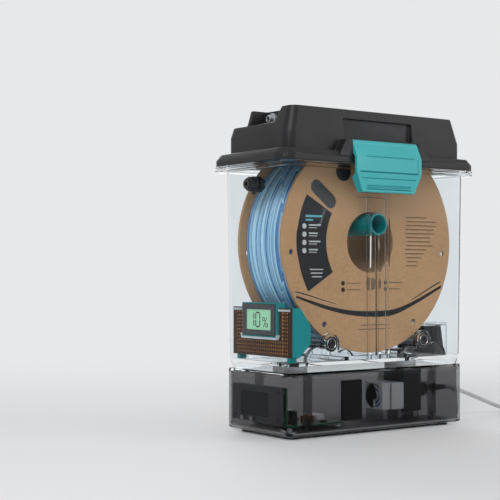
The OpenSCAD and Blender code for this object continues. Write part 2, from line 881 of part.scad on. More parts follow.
// A tube of eight sides along a path
module swept(path, d) {
    sides = 8;
    rings = len(path);
    points = [
        for (i = [0:rings - 1])
            let (f = heading(path, i), s = unit(cross([0, 0, 1], f)), u = cross(f, s))
            for (k = [0:sides - 1])
                let (a = 360 * (k + 0.5) / sides)
                path[i] + d / 2 * (cos(a) * s + sin(a) * u)
    ];
    walls = [
        for (i = [0:rings - 2], k = [0:sides - 1])
            let (n = (k + 1) % sides)
            each [
                [i * sides + k, i * sides + n, (i + 1) * sides + n],
                [i * sides + k, (i + 1) * sides + n, (i + 1) * sides + k]
            ]
    ];
    start = [for (k = [sides - 1:-1:0]) k];
    end = [for (k = [0:sides - 1]) (rings - 1) * sides + k];
    polyhedron(points, concat(walls, [start, end]));
}

module power_lead() {
    color([0.78, 0.79, 0.8])
        swept(smooth_path(lead_path, 2), cord_d);
}

module lead_tail() {
    color([0.78, 0.79, 0.8])
        swept(smooth_path(tail_path, 2), cord_d);
}

module lead_coil() {
    color([0.78, 0.79, 0.8])
        translate([coil_at[0], coil_at[1], 0])
            rotate_extrude($fn = 64)
                translate([coil_d / 2 - coil_wide / 2, 0])
                    square([coil_wide, coil_high]);
}

module power_adapter() {
    r = 5;
    color([0.1, 0.1, 0.11]) {
        translate([adapter_at[0], adapter_at[1], 0])
            slab(adapter_l / 2, adapter_w / 2, r, 0, adapter_h);
        // strain relief, tapered towards the lead
        translate([relief_x0, adapter_at[1], adapter_lead_z])
            rotate([0, 90, 0])
                cylinder(d1 = cord_d + 0.8, d2 = 8, h = adapter_relief_l + eps, $fn = bore_fn);
    }
}

module adapter_blades() {
    blade_l = 17;
    blade_w = 6.3;
    blade_t = 1.5;
    spacing = 12.7;
    x1 = adapter_at[0] + adapter_l / 2;
    color([0.8, 0.74, 0.5])
        for (s = [-1, 1])
            block([x1, adapter_at[1] + s * spacing / 2 - blade_t / 2, adapter_h / 2 - blade_w / 2],
                [x1 + blade_l, adapter_at[1] + s * spacing / 2 + blade_t / 2, adapter_h / 2 + blade_w / 2]);
}

// Box

rib_y0 = in_y_at(floor_z);
tube_z = spool_z + spool_bore / 2 - tube_gap - tube_d / 2;
end_port_z = flange_z0 - end_port_drop;
end_port_y = -end_port_off;
flange_groove = 1.5;
flange_groove_t = 1.4;

module box_shell() {
    in_r = box_r - box_wall;
    inner_top = flange_z1 + 1;
    color([0.85, 0.9, 0.93, 0.35])
        difference() {
            union() {
                leaning([box_x0, box_y0, box_r], floor_z, [box_x1, box_y1, box_r], flange_z0);
                leaning([foot_x, foot_y, box_r - base_inset], deck_z, [box_x0, box_y0, box_r], floor_z);
                slab(flange_x, flange_y, rim_r, flange_z0, flange_z1);
            }
            difference() {
                leaning([box_x0 - box_wall, box_y0 - box_wall, in_r], floor_z,
                    [in_x_at(inner_top), in_y_at(inner_top), in_r], inner_top);
                wall_ribs();
                at_rear()
                    wall_ribs();
            }
            // hollow under the floor
            leaning([foot_x - box_wall, foot_y - box_wall, in_r - base_inset], deck_z - eps,
                [foot_x - box_wall + 1, foot_y - box_wall + 1, in_r - base_inset], floor_z - floor_t);
            // air ports with a hub that guides the valve stem
            for (s = [-1, 1]) {
                spoked_hole(s * port_x, floor_z - floor_t - eps, floor_z + eps);
                translate([s * port_x, 0, floor_z - floor_t - eps])
                    cylinder(d = pin_d + 2 * run_gap, h = floor_t + 2 * eps, $fn = bore_fn);
            }
            bar_x(neck_d + 2 * fit_gap, -box_x1 - 1, -box_x0 + box_wall + 1, end_port_y, end_port_z);
            // groove round the edge of the flange
            difference() {
                slab(flange_x + 1, flange_y + 1, rim_r + 1, flange_z0 + flange_groove_t,
                    flange_z1 - flange_groove_t);
                slab(flange_x - flange_groove, flange_y - flange_groove, rim_r - flange_groove,
                    flange_z0, flange_z1);
            }
        }
}

// Guide ribs and the tube's seat on the front wall, as solids that reach into the wall
module wall_ribs() {
    y_in = -rib_y0 + rib_depth;
    for (s = [-1, 1])
        block([s * rib_span / 2 - rib_t / 2, -box_y1, floor_z],
            [s * rib_span / 2 + rib_t / 2, y_in, flange_z0]);
    // post under the end of the tube, with a hollow seat on top
    difference() {
        block([-rib_t, -box_y1, floor_z], [rib_t, y_in, tube_z - tube_d / 2 + 0.6]);
        bar_y(tube_d, 0, -box_y1 - 1, y_in + 1, tube_z, 64);
    }
}

module hub_tube() {
    half = rib_y0 - 0.4;
    color([0.05, 0.55, 0.56])
        difference() {
            bar_y(tube_d, 0, -half, half, tube_z, 64);
            bar_y(tube_bore, 0, -half - 1, half + 1, tube_z, 64);
        }
}

// Rollers

cradle_y1 = rib_y0 - 0.3;
cradle_y0 = cradle_y1 - cradle_t;
bearing_y1 = cradle_y1;
bearing_y0 = bearing_y1 - bearing_w;

module cradle_outline() {
    base = 4;
    post_r = bearing_d / 2 + 2.6;
    for (s = [-1, 1]) {
        translate([s * roller_x, roller_z])
            circle(r = post_r, $fn = bore_fn);
        translate([s * roller_x - post_r, floor_z])
            square([2 * post_r, roller_h]);
        // rounded shoulders beside each post
        translate([s * (roller_x + 15), floor_z])
            circle(r = 13, $fn = bore_fn);
        translate([s * (roller_x - 16), floor_z])
            circle(r = 10, $fn = bore_fn);
    }
    translate([-roller_x - 15, floor_z])
        square([2 * roller_x + 30, base]);
}

module cradle_plate() {
    difference() {
        along_y(-cradle_y1, -cradle_y0)
            intersection() {
                cradle_outline();
                translate([-spool_d, floor_z])
                    square([2 * spool_d, spool_d]);
            }
        for (s = [-1, 1]) {
            bar_y(bearing_d + 2 * fit_gap, s * roller_x, -cradle_y1 - 1, -bearing_y0, roller_z);
            bar_y(bearing_d - 3, s * roller_x, -cradle_y1 - 1, -cradle_y0 + 1, roller_z);
        }
        // clearance for the ribs behind the plate
        for (x = [-rib_span / 2, 0, rib_span / 2])
            block([x - rib_t - 0.4, -cradle_y1 - 1, floor_z - 1],
                [x + rib_t + 0.4, -rib_y0 + rib_depth + turn_gap, roller_z + 20]);
    }
}

module roller_cradle() {
    rail_w = 5;
    color([0.88, 0.9, 0.92, 0.5]) {
        cradle_plate();
        at_rear()
            cradle_plate();
        // rails that join the two plates
        for (s = [-1, 1])
            translate([s * (roller_x - 20) - rail_w / 2, -cradle_y0, floor_z])
                cube([rail_w, 2 * cradle_y0, 3]);
    }
}

module roller_bearings() {
    color([0.2, 0.2, 0.21])
        for (sx = [-1, 1], sy = [-1, 1])
            difference() {
                bar_y(bearing_d, sx * roller_x, sy > 0 ? bearing_y0 : -bearing_y1,
                    sy > 0 ? bearing_y1 : -bearing_y0, roller_z);
                bar_y(journal_d + 2 * run_gap, sx * roller_x, sy > 0 ? bearing_y0 - 1 : -bearing_y1 - 1,
                    sy > 0 ? bearing_y1 + 1 : -bearing_y0 + 1, roller_z);
                // shield grooves on the outer face
                translate([sx * roller_x, sy * (bearing_y1 - 0.15), roller_z])
                    rotate([90, 0, 0])
                        difference() {
                            cylinder(d = bearing_d - 2.4, h = 0.6, center = true, $fn = bore_fn);
                            cylinder(d = journal_d + 2.4, h = 1, center = true, $fn = bore_fn);
                        }
            }
}

module roller_bar(x) {
    half = cradle_y0 - 0.5;
    journal = bearing_y1 - 0.2;
    color([0.6, 0.61, 0.63]) {
        bar_y(roller_d, x, -half, half, roller_z);
        bar_y(journal_d, x, -journal, journal, roller_z);
    }
}

module roller_left() {
    roller_bar(-roller_x);
}

module roller_right() {
    roller_bar(roller_x);
}

// Air valves in the floor

module air_valve(x) {
    disc_d = port_d + 4;
    color([0.15, 0.15, 0.16])
        translate([x, 0, 0]) {
            translate([0, 0, valve_z])
                cylinder(d = disc_d, h = valve_t, $fn = bore_fn);
            translate([0, 0, stem_z])
                cylinder(d = pin_d, h = valve_z - stem_z + eps, $fn = bore_fn);
        }
}

module valve_left() {
    air_valve(-port_x);
}

module valve_right() {
    air_valve(port_x);
}

// End port

port_wall_x = box_x_at(end_port_z);
port_skin = 0.3;
tube_stop = 0.2;

module end_port_body() {
    knob_l = 5;
    collar_t = 1.5;
    cap_l = 2.6;
    ridges = 12;
    x_out = -port_wall_x - port_skin;
    x_in = -port_wall_x + box_wall + 6.5;
    x_knob = x_out - collar_t - knob_l;
    ring_z = end_port_z - knob_d / 2 - 0.8;
    color([0.07, 0.07, 0.08])
        difference() {
            union() {
                bar_x(knob_d + 1, x_out - collar_t, x_out, end_port_y, end_port_z);
                bar_x(knob_d - 1.4, x_knob, x_out, end_port_y, end_port_z);
                for (i = [0:ridges - 1])
                    translate([0, end_port_y, end_port_z])
                        rotate([i * 360 / ridges, 0, 0])
                            bar_x(1.6, x_knob, x_out, knob_d / 2 - 0.8, 0, 24);
                bar_x(knob_d - 4, x_knob - cap_l, x_knob + eps, end_port_y, end_port_z);
                bar_x(neck_d, x_out - eps, x_in, end_port_y, end_port_z);
                // loop for a tether
                bar_x(4, x_out - collar_t, x_out, end_port_y, ring_z, 32);
            }
            // seat of the tube, then a narrower hole past its stop
            bar_x(tube_port_d, x_knob - cap_l - 1, x_out - tube_stop, end_port_y, end_port_z);
            bar_x(filament_hole_d, x_knob, x_in + 1, end_port_y, end_port_z);
            bar_x(2, x_out - collar_t - 1, x_out + 1, end_port_y, ring_z - 0.6, 32);
        }
}

module end_port_nut() {
    nut_t = 5;
    lobes = 6;
    x0 = -port_wall_x + box_wall + port_skin;
    color([0.09, 0.09, 0.1])
        difference() {
            union() {
                bar_x(knob_d - 1.6, x0, x0 + nut_t, end_port_y, end_port_z);
                for (i = [0:lobes - 1])
                    translate([0, end_port_y, end_port_z])
                        rotate([i * 360 / lobes + 30, 0, 0])
                            bar_x(4, x0, x0 + nut_t, knob_d / 2 - 1.6, 0, 24);
            }
            bar_x(neck_d + 2 * fit_gap, x0 - 1, x0 + nut_t + 1, end_port_y, end_port_z);
        }
}

// Desiccant unit

grille_x = -in_x_at(floor_z + 26) + 4;
case_x0 = grille_x + grille_t;
case_x1 = grille_x + case_depth;
case_z0 = floor_z + runner_h;
case_z1 = case_z0 + case_h;
hygro_x0 = grille_x - 3.6;
hygro_x1 = hygro_x0 + hygro_depth;
hygro_z1 = case_z1 + 2.8;
hygro_z0 = hygro_z1 - hygro_h;
hood_z1 = floor_z + hood_h;
lcd_z1 = hygro_z1 - (hygro_h - lcd_h) / 2;
pocket_wall = 1.4;
pocket_gap = 0.2;

module case_outline(inset) {
    polygon([
        [case_x0, case_z0 + inset],
        [case_x1 - 12.1 - inset * 0.4, case_z0 + inset],
        [case_x1 - inset, case_z0 + 11.2 + inset * 0.4],
        [case_x1 - inset, case_z0 + 27.7 - inset * 0.4],
        [case_x1 - 11 - inset * 0.4, case_z1 - inset],
        [case_x0, case_z1 - inset]
    ]);
}

module desiccant_case() {
    tower = hygro_w / 2 + pocket_gap + pocket_wall;
    color([0.0, 0.52, 0.54])
        difference() {
            union() {
                along_y(-case_w / 2, case_w / 2)
                    case_outline(0);
                // pocket that holds the hygrometer
                block([hygro_x0 + 1, -tower, hygro_z0 - pocket_gap - pocket_wall],
                    [hygro_x1 + pocket_wall, tower, hygro_z1 + pocket_gap + pocket_wall]);
                // runners on the floor
                for (s = [-1, 1])
                    block([case_x0, s * (case_w / 2 - 6) - 2, floor_z],
                        [case_x0 + 8, s * (case_w / 2 - 6) + 2, case_z0 + 1]);
            }
            difference() {
                along_y(-case_w / 2 + case_wall, case_w / 2 - case_wall)
                    difference() {
                        case_outline(case_wall);
                        translate([case_x0 - 1, case_z0])
                            square([1, case_h]);
                    }
                block([hygro_x0, -tower, hygro_z0 - pocket_gap - pocket_wall],
                    [hygro_x1 + pocket_wall, tower, hygro_z1 + 5]);
            }
            block([hygro_x0 - 1, -hygro_w / 2 - pocket_gap, hygro_z0 - pocket_gap],
                [hygro_x1, hygro_w / 2 + pocket_gap, hygro_z1 + pocket_gap]);
        }
}

module desiccant_grille() {
    edge = 1.6;
    clear = 0.2;
    half = hygro_w / 2 + pocket_gap + pocket_wall + clear;
    low = hygro_z0 - pocket_gap - pocket_wall - clear;
    cols = floor((case_w / 2 - edge) / grille_pitch);
    rows = floor((case_h - 2 * edge) / grille_pitch);
    color([0.2, 0.1, 0.05])
        translate([grille_x, 0, 0])
            rotate([90, 0, 90])
                linear_extrude(grille_t)
                    difference() {
                        translate([-case_w / 2, case_z0])
                            square([case_w, case_h]);
                        translate([-half, low])
                            square([2 * half, case_h]);
                        for (i = [-cols:cols - 1], j = [0:rows - 1])
                            if (grille_open(i, j, half, low, edge))
                                translate([(i + 0.5) * grille_pitch - grille_hole / 2,
                                    case_z0 + edge + (j + 0.5) * grille_pitch - grille_hole / 2])
                                    square(grille_hole);
                    }
}

// Whether the hole in column i and row j lies clear of the hygrometer
function grille_open(i, j, half, low, edge) =
    let (y = abs((i + 0.5) * grille_pitch), z = case_z0 + edge + (j + 0.5) * grille_pitch,
        r = grille_hole / 2 + 0.6)
    (y - r > half || z + r < low) && z + r < case_z1 - edge / 2 && y + r < case_w / 2 - edge / 2;

module desiccant_beads() {
    clear = 0.2;
    tower = hygro_w / 2 + pocket_gap + pocket_wall;
    color([0.9, 0.45, 0.1])
        difference() {
            along_y(-case_w / 2 + case_wall, case_w / 2 - case_wall)
                difference() {
                    case_outline(case_wall);
                    translate([case_x0 - 1, case_z0])
                        square([1 + clear, case_h]);
                }
            block([hygro_x0, -tower, hygro_z0 - pocket_gap - pocket_wall],
                [hygro_x1 + pocket_wall, tower, hygro_z1 + 5]);
        }
}

hygro_wall = 1.2;

module hygrometer_case() {
    color([0.27, 0.26, 0.28])
        difference() {
            block([hygro_x0, -hygro_w / 2, hygro_z0], [hygro_x1, hygro_w / 2, hygro_z1]);
            block([hygro_x0 + hygro_wall, -hygro_w / 2 + hygro_wall, hygro_z0 + hygro_wall],
                [hygro_x1 - hygro_wall, hygro_w / 2 - hygro_wall, hygro_z1 - hygro_wall]);
            block([hygro_x0 - 1, -lcd_w / 2, lcd_z1 - lcd_h],
                [hygro_x0 + hygro_wall + 1, lcd_w / 2, lcd_z1]);
        }
}

module hygrometer_panel() {
    lip = 1.5;
    color([0.62, 0.83, 0.68])
        block([hygro_x0 + hygro_wall, -lcd_w / 2 - lip, lcd_z1 - lcd_h - lip],
            [hygro_x0 + hygro_wall + 1.5, lcd_w / 2 + lip, lcd_z1 + lip]);
}

module hygrometer_board() {
    x0 = hygro_x0 + hygro_wall + 1.5;
    color([0.05, 0.3, 0.15])
        block([x0, -hygro_w / 2 + 2, hygro_z0 + 2], [x0 + 1, hygro_w / 2 - 2, hygro_z1 - 2]);
}

module button_cells() {
    x0 = hygro_x0 + hygro_wall + 2.5;
    color([0.75, 0.75, 0.77])
        for (s = [-1, 1])
            bar_x(11.6, x0, x0 + 2.4, s * 9, (hygro_z0 + hygro_z1) / 2);
}

// Clear cradle under the hygrometer and the clips beside it
module display_cradle() {
    half = hygro_w / 2 + pocket_gap + pocket_wall;
    z1 = hygro_z0 - pocket_gap - pocket_wall;
    t = 2;
    color([0.9, 0.92, 0.94, 0.6]) {
        along_x_at(hygro_x0 + 0.4, grille_x)
            polygon([
                [-half - 2, z1 + 2.5], [-half, z1 + 2.5], [-half, z1], [half, z1],
                [half, z1 + 2.5], [half + 2, z1 + 2.5], [half, z1 - t], [-half, z1 - t]
            ]);
        for (s = [-1, 1])
            block([grille_x - 1.6, s > 0 ? half + 1 : -case_w / 2 + 1, case_z1 - 3],
                [grille_x, s > 0 ? case_w / 2 - 1 : -half - 1, case_z1 - 1]);
    }
}

// Extrudes an outline drawn in Y and Z along X, from x0 to x1
module along_x_at(x0, x1) {
    translate([x0, 0, 0])
        rotate([90, 0, 90])
            linear_extrude(x1 - x0)
                children();
}

// Warm air hood at the other end

hood_depth = 28;
hood_end_gap = 3.5;
hood_x1 = in_x_at(floor_z) - hood_end_gap;
hood_x0 = hood_x1 - hood_depth;
hood_t = 1.6;
foam_x1 = hood_x1 - hood_t - foam_lean;

module warm_air_hood() {
    reach = spool_r + 2.5;
    color([0.9, 0.92, 0.94, 0.5])
        difference() {
            union() {
                block([hood_x0, -hood_w / 2, hood_z1 - 2.5], [hood_x1, hood_w / 2, hood_z1]);
                for (s = [-1, 1])
                    block([hood_x0, s > 0 ? hood_w / 2 - hood_t : -hood_w / 2, floor_z],
                        [hood_x1, s > 0 ? hood_w / 2 : -hood_w / 2 + hood_t, hood_z1]);
            }
            bar_y(2 * reach, 0, -hood_w, hood_w, spool_z, 96);
            // the rear post of each cheek stays clear of the valve disc
            block([hood_x0 - 1, -hood_w / 2 - 1, floor_z - 1],
                [port_x + port_d / 2 + 4, hood_w / 2 + 1, hood_z1 - 8]);
        }
}

module foam_filter() {
    z1 = hood_z1 - 2.5;
    color([0.13, 0.13, 0.14])
        along_y(-hood_w / 2 + hood_t + 0.2, hood_w / 2 - hood_t - 0.2)
            polygon([
                [foam_x1 - foam_t, z1], [foam_x1, z1],
                [foam_x1 + foam_lean, floor_z], [foam_x1 + foam_lean - foam_t, floor_z]
            ]);
}

// Spool

slot_in = 0.585;     // ends of the slot, as shares of the flange's radius
slot_out = 0.785;

module flange_form() {
    difference() {
        circle(r = spool_r, $fn = 128);
        circle(d = spool_bore, $fn = 96);
        // slot along a radius, on the outlet side
        rotate(142) {
            for (share = [slot_in, slot_out])
                translate([spool_r * share, 0])
                    circle(d = flange_slot_w, $fn = hull_fn);
            translate([spool_r * slot_in, -flange_slot_w / 2])
                square([spool_r * (slot_out - slot_in), flange_slot_w]);
        }
        // small holes round the flange
        for (a = [-6, 186, -54, 234])
            rotate(a)
                translate([spool_r * 0.905, 0])
                    circle(d = flange_hole_d, $fn = hull_fn);
    }
}

module spool_flange(y0) {
    color([0.70, 0.56, 0.42])
        translate([0, 0, spool_z])
            along_y(y0, y0 + spool_flange_t)
                flange_form();
}

module spool_flange_front() {
    spool_flange(-spool_w / 2);
}

module spool_flange_rear() {
    spool_flange(spool_w / 2 - spool_flange_t);
}

module spool_ring(outer, inner, fn) {
    half = spool_w / 2 - spool_flange_t;
    difference() {
        bar_y(outer, 0, -half, half, spool_z, fn);
        bar_y(inner, 0, -half - 1, half + 1, spool_z, fn);
    }
}

module spool_core() {
    color([0.62, 0.48, 0.35]) {
        spool_ring(drum_d, drum_d - 2 * drum_wall, 96);
        spool_ring(spool_bore + 2 * drum_wall, spool_bore, 96);
    }
}

module filament_winding() {
    color([0.45, 0.7, 0.9])
        spool_ring(winding_d, drum_d, 96);
}

// Lid

pocket_x1 = -crown_x + pocket_l;
pocket_y1 = ridge_back_y - fence_t;
pocket_y0 = pocket_y1 - pocket_w;
pocket_slope = 5.5;
recess_w = latch_w + 4;
recess_z0 = rim_z1 + 12.5;
recess_z1 = roof_z + 5;
backing_t = lid_wall;
ear_x0 = latch_w / 2 + ear_gap;
ear_x1 = ear_x0 + ear_w;
ear_slant = 7;
ear_top = rim_z1 + 10.5;
pivot_z = ear_top - barrel_r;
pivot_n = crown_y + barrel_r + 1.6;

module crown_outside() {
    slab(crown_x, crown_y, crown_r, rim_z1 - eps, crown_z);
    leaning([crown_x, crown_y, crown_r], crown_z - eps, [top_x, top_y, crown_r - 1], ridge_z);
}

// The hollow under the crown, up to the low roof
module crown_inside() {
    x = crown_x - lid_wall;
    y = crown_y - lid_wall;
    r = crown_r - lid_wall;
    share = (roof_z - lid_wall - crown_z) / (ridge_z - crown_z);
    slab(x, y, r, rim_z0 - 1, crown_z);
    leaning([x, y, r], crown_z - eps,
        [x - lean_x * share, y - lean_y * share, r], roof_z - lid_wall);
}

// Solid that backs the finger recess
module recess_backing() {
    block([-recess_w / 2 - backing_t, -crown_y - 1, recess_z0 - backing_t],
        [recess_w / 2 + backing_t, -crown_y + recess_depth + backing_t, roof_z]);
}

module ears() {
    for (s = [-1, 1])
        along_y(-rim_y, -crown_y + 1)
            scale([s, 1])
                polygon([
                    [ear_x0, rim_z1 - rim_chamfer - 1], [ear_x0, ear_top], [ear_x1, ear_top],
                    [ear_x1 + ear_slant, rim_z1 - 2], [ear_x1 + ear_slant, rim_z1 - rim_chamfer - 1]
                ]);
}

module ear_bores() {
    bar_x(latch_pin_d + 2 * fit_gap, -ear_x1 - 1, ear_x1 + 1, -pivot_n, pivot_z);
}

module lid_shell() {
    chamfer_z = rim_z1 - rim_chamfer - 1.5;
    ridge_in = 2 * lid_wall;
    color([0.22, 0.22, 0.23])
        difference() {
            union() {
                slab(rim_x, rim_y, rim_r, rim_z0, chamfer_z);
                leaning([rim_x, rim_y, rim_r], chamfer_z - eps,
                    [rim_x - rim_chamfer, rim_y - rim_chamfer, rim_r - 3], rim_z1);
                difference() {
                    crown_outside();
                    // low roof behind the raised part
                    block([-crown_x - 1, ridge_back_y, roof_z], [crown_x + 1, crown_y + 1, ridge_z + 1]);
                    // outlet pocket, open to the end
                    along_x_at(-crown_x - 1, pocket_x1)
                        polygon([
                            [pocket_y0, roof_z], [pocket_y1, roof_z], [pocket_y1, ridge_z + 1],
                            [pocket_y0 - pocket_slope, ridge_z + 1]
                        ]);
                    // finger recess over the front latch
                    block([-recess_w / 2, -crown_y - 1, recess_z0],
                        [recess_w / 2, -crown_y + recess_depth, recess_z1]);
                    at_rear()
                        block([-recess_w / 2, -crown_y - 1, recess_z0],
                            [recess_w / 2, -crown_y + recess_depth, roof_z + 1]);
                }
                ears();
                at_rear()
                    ears();
            }
            difference() {
                crown_inside();
                recess_backing();
                at_rear()
                    recess_backing();
            }
            // hollow of the raised part
            block([pocket_x1 + lid_wall, -crown_y + recess_depth + lid_wall, roof_z - lid_wall - eps],
                [top_x - ridge_in, ridge_back_y - lid_wall, ridge_z - lid_wall]);
            gasket_form(fit_gap, rim_z0 - 1, rim_z0 + 1.2 + fit_gap);
            ear_bores();
            at_rear()
                ear_bores();
            // seat of the filament outlet
            bar_x(outlet_d + 2 * fit_gap, pocket_x1 - 1, pocket_x1 + lid_wall + 1, outlet_y, outlet_z);
        }
}

// The ring of the seal, widened by a clearance
module gasket_form(clear, z0, z1) {
    outer_x = flange_x - 4.5;
    outer_y = flange_y - 1.8;
    difference() {
        slab(outer_x + clear, outer_y + clear, rim_r - 1.8 + clear, z0, z1);
        slab(outer_x - gasket_w - clear, outer_y - gasket_w - clear, rim_r - 1.8 - gasket_w, z0 - 1, z1 + 1);
    }
}

module lid_gasket() {
    color([0.5, 0.5, 0.52])
        gasket_form(0, flange_z1, rim_z0 + 1.2);
}

outlet_d = 7;
outlet_y = 4;
outlet_z = roof_z + 6;

module lid_outlet() {
    flange_d = 10.5;
    nozzle_l = 7.5;
    color([0.75, 0.76, 0.78])
        difference() {
            union() {
                bar_x(flange_d, pocket_x1 - 3.5, pocket_x1, outlet_y, outlet_z);
                bar_x(outlet_d, pocket_x1 - nozzle_l, pocket_x1 + lid_wall + 3, outlet_y, outlet_z);
            }
            bar_x(tube_port_d, pocket_x1 - nozzle_l - 1, pocket_x1 - tube_stop, outlet_y, outlet_z);
            bar_x(filament_hole_d, pocket_x1 - nozzle_l, pocket_x1 + lid_wall + 4, outlet_y, outlet_z);
        }
}

// Latches

face_n = flange_y + latch_proud;
latch_z0 = flange_z0 - latch_drop;
knee_z = ear_top - 15;
taper_z = latch_z0 + latch_taper_h;
groove = 0.5;

// Section of the plate, across the latch: first value outward, second up
module latch_section() {
    translate([pivot_n, pivot_z])
        circle(r = barrel_r, $fn = bore_fn);
    polygon([
        [pivot_n + barrel_r * 0.62, pivot_z + barrel_r * 0.78],
        [face_n, knee_z],
        [face_n, taper_z],
        [face_n - 1.4, latch_z0 + 0.8],
        [face_n - 2.2, latch_z0],
        [face_n - 1.4 - latch_t, latch_z0],
        [face_n - latch_t, taper_z],
        [face_n - latch_t, knee_z - 0.6],
        [pivot_n - barrel_r * 0.2, pivot_z - barrel_r * 0.97]
    ]);
}

// Side walls of the grip and the hook under the flange
module latch_sides_section() {
    polygon([
        [face_n - latch_t + 0.5, taper_z - 1], [flange_y - 5, taper_z - 4.5],
        [flange_y - 4, latch_z0], [face_n - latch_t, latch_z0]
    ]);
}

module hook_section() {
    top = flange_z0 - hook_drop;
    polygon([
        [face_n - latch_t + 0.2, top + 1.2], [face_n - latch_t + 0.2, top - 3.5], [flange_y, top - 3.5],
        [flange_y - hook_catch, top - 1.2], [flange_y - hook_catch, top]
    ]);
}

module latch_outline(inset) {
    w = latch_w / 2 - inset;
    t = latch_tip_w / 2 - inset;
    polygon([
        [-w, ear_top + 1], [w, ear_top + 1], [w, taper_z], [t, latch_z0 - eps],
        [-t, latch_z0 - eps], [-w, taper_z]
    ]);
}

module latch() {
    side_t = 1.8;
    color([0.28, 0.68, 0.70])
        difference() {
            union() {
                intersection() {
                    along_x(latch_w)
                        scale([-1, 1])
                            latch_section();
                    along_y(-face_n - 1, 0)
                        latch_outline(0);
                }
                intersection() {
                    along_x(latch_w)
                        scale([-1, 1])
                            latch_sides_section();
                    along_y(-face_n - 1, 0)
                        difference() {
                            latch_outline(0);
                            latch_outline(side_t);
                        }
                }
                along_x(latch_tip_w)
                    scale([-1, 1])
                        hook_section();
            }
            bar_x(latch_pin_d + 2 * run_gap, -latch_w, latch_w, -pivot_n, pivot_z);
            latch_grooves();
        }
}

// Shallow grooves in the outer face
module latch_grooves() {
    side = latch_w / 2 - 4.5;
    // wide groove at the top of the grip, thin groove below it
    block([-side - 0.6, -face_n - 1, taper_z - 0.8], [side + 0.6, -face_n + groove, taper_z + 0.8]);
    block([-side + 2, -face_n - 1, taper_z - 6], [side - 2, -face_n + 2 * groove, taper_z - 5.2]);
    // line along the knee and down the right side
    block([-side + 6, -face_n - 1, knee_z - 0.4], [side - 3, -face_n + groove, knee_z + 0.4]);
    block([side - 0.2, -face_n - 1, taper_z], [side + 0.6, -face_n + groove, knee_z]);
    // sunk panel with grip ribs
    for (i = [0:2])
        block([-side + 8, -face_n - 1, latch_z0 + 2.4 + i * 1.6],
            [side - 8, -face_n + 3.2 * groove, latch_z0 + 3.2 + i * 1.6]);
}

module latch_front() {
    latch();
}

module latch_rear() {
    at_rear()
        latch();
}

module latch_pin_front() {
    color([0.7, 0.7, 0.72])
        bar_x(latch_pin_d, -ear_x1, ear_x1, -pivot_n, pivot_z);
}

module latch_pin_rear() {
    at_rear()
        latch_pin_front();
}

dock_shell();
dock_base_plate();
dock_feet();
dock_screws();
display_frame();
display_panel();
display_board();
power_button();
timer_button();
control_board();
air_baffle();
fan_frame();
fan_rotor();
heater_case();
heater_core();
warm_air_duct();
heater_bracket();
port_gaskets();
power_socket();
power_plug();
power_lead();
lead_coil();
lead_tail();
power_adapter();
adapter_blades();
box_shell();
roller_cradle();
roller_bearings();
roller_left();
roller_right();
hub_tube();
end_port_body();
end_port_nut();
valve_left();
valve_right();
desiccant_case();
desiccant_grille();
desiccant_beads();
hygrometer_case();
hygrometer_panel();
hygrometer_board();
button_cells();
display_cradle();
warm_air_hood();
foam_filter();
spool_flange_front();
spool_flange_rear();
spool_core();
filament_winding();
lid_shell();
lid_gasket();
lid_outlet();
latch_front();
latch_rear();
latch_pin_front();
latch_pin_rear();
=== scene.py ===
"""Dresses the filament dryer box: finishes, rounded housings, filament, prints, displays and power lead."""

import json
import logging
import math
import random
from dataclasses import dataclass
from enum import Enum
from typing import Callable, Iterable, Sequence

import bpy
from mathutils import Matrix, Vector

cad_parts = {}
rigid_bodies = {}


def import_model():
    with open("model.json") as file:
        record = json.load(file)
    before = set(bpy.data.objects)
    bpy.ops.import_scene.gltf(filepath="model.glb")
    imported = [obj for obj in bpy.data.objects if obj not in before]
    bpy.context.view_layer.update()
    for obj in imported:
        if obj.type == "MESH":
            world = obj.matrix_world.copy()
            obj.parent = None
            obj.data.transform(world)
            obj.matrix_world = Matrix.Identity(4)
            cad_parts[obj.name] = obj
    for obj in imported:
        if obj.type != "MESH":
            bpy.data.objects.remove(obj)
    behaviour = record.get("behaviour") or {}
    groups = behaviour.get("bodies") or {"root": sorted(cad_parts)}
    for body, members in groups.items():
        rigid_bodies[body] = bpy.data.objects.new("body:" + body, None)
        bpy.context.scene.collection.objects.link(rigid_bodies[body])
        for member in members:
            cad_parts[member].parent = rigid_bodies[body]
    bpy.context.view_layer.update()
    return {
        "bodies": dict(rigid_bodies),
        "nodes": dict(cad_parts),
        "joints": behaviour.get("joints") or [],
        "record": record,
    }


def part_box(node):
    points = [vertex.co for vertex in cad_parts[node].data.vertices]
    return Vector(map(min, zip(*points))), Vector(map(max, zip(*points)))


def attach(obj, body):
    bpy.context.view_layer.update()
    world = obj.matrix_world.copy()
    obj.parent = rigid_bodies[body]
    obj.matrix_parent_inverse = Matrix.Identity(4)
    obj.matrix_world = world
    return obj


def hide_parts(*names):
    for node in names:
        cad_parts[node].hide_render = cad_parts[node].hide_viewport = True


LOG = logging.getLogger("dryer_box")
MM = 0.001
Pair = tuple[float, float]
Point = tuple[float, float, float]
Colour = tuple[float, float, float, float]
Object = bpy.types.Object
Tree = bpy.types.ShaderNodeTree
Node = bpy.types.Node
Socket = bpy.types.NodeSocket

ALONG_Y = Vector((0, 1, 0))
SAME_PLACE = 1e-6  # metres: corners nearer than this are one
CAD_SAME_PLACE = 3e-5  # metres: the same for the corners of a CAD node
CAD_FLAT = math.radians(1.2)  # faces of a CAD node that turn less than this are one
SHARP = math.radians(30)  # edges that turn more than this are rounded, or shaded sharp on turned pieces
SOFT_SHADED = math.radians(28)  # the same for the shading of a rounded block
CAD_SHADED = math.radians(32)  # and for that of a rounded CAD node


# ---------------------------------------------------------------------------
# Steps in a node tree
# ---------------------------------------------------------------------------


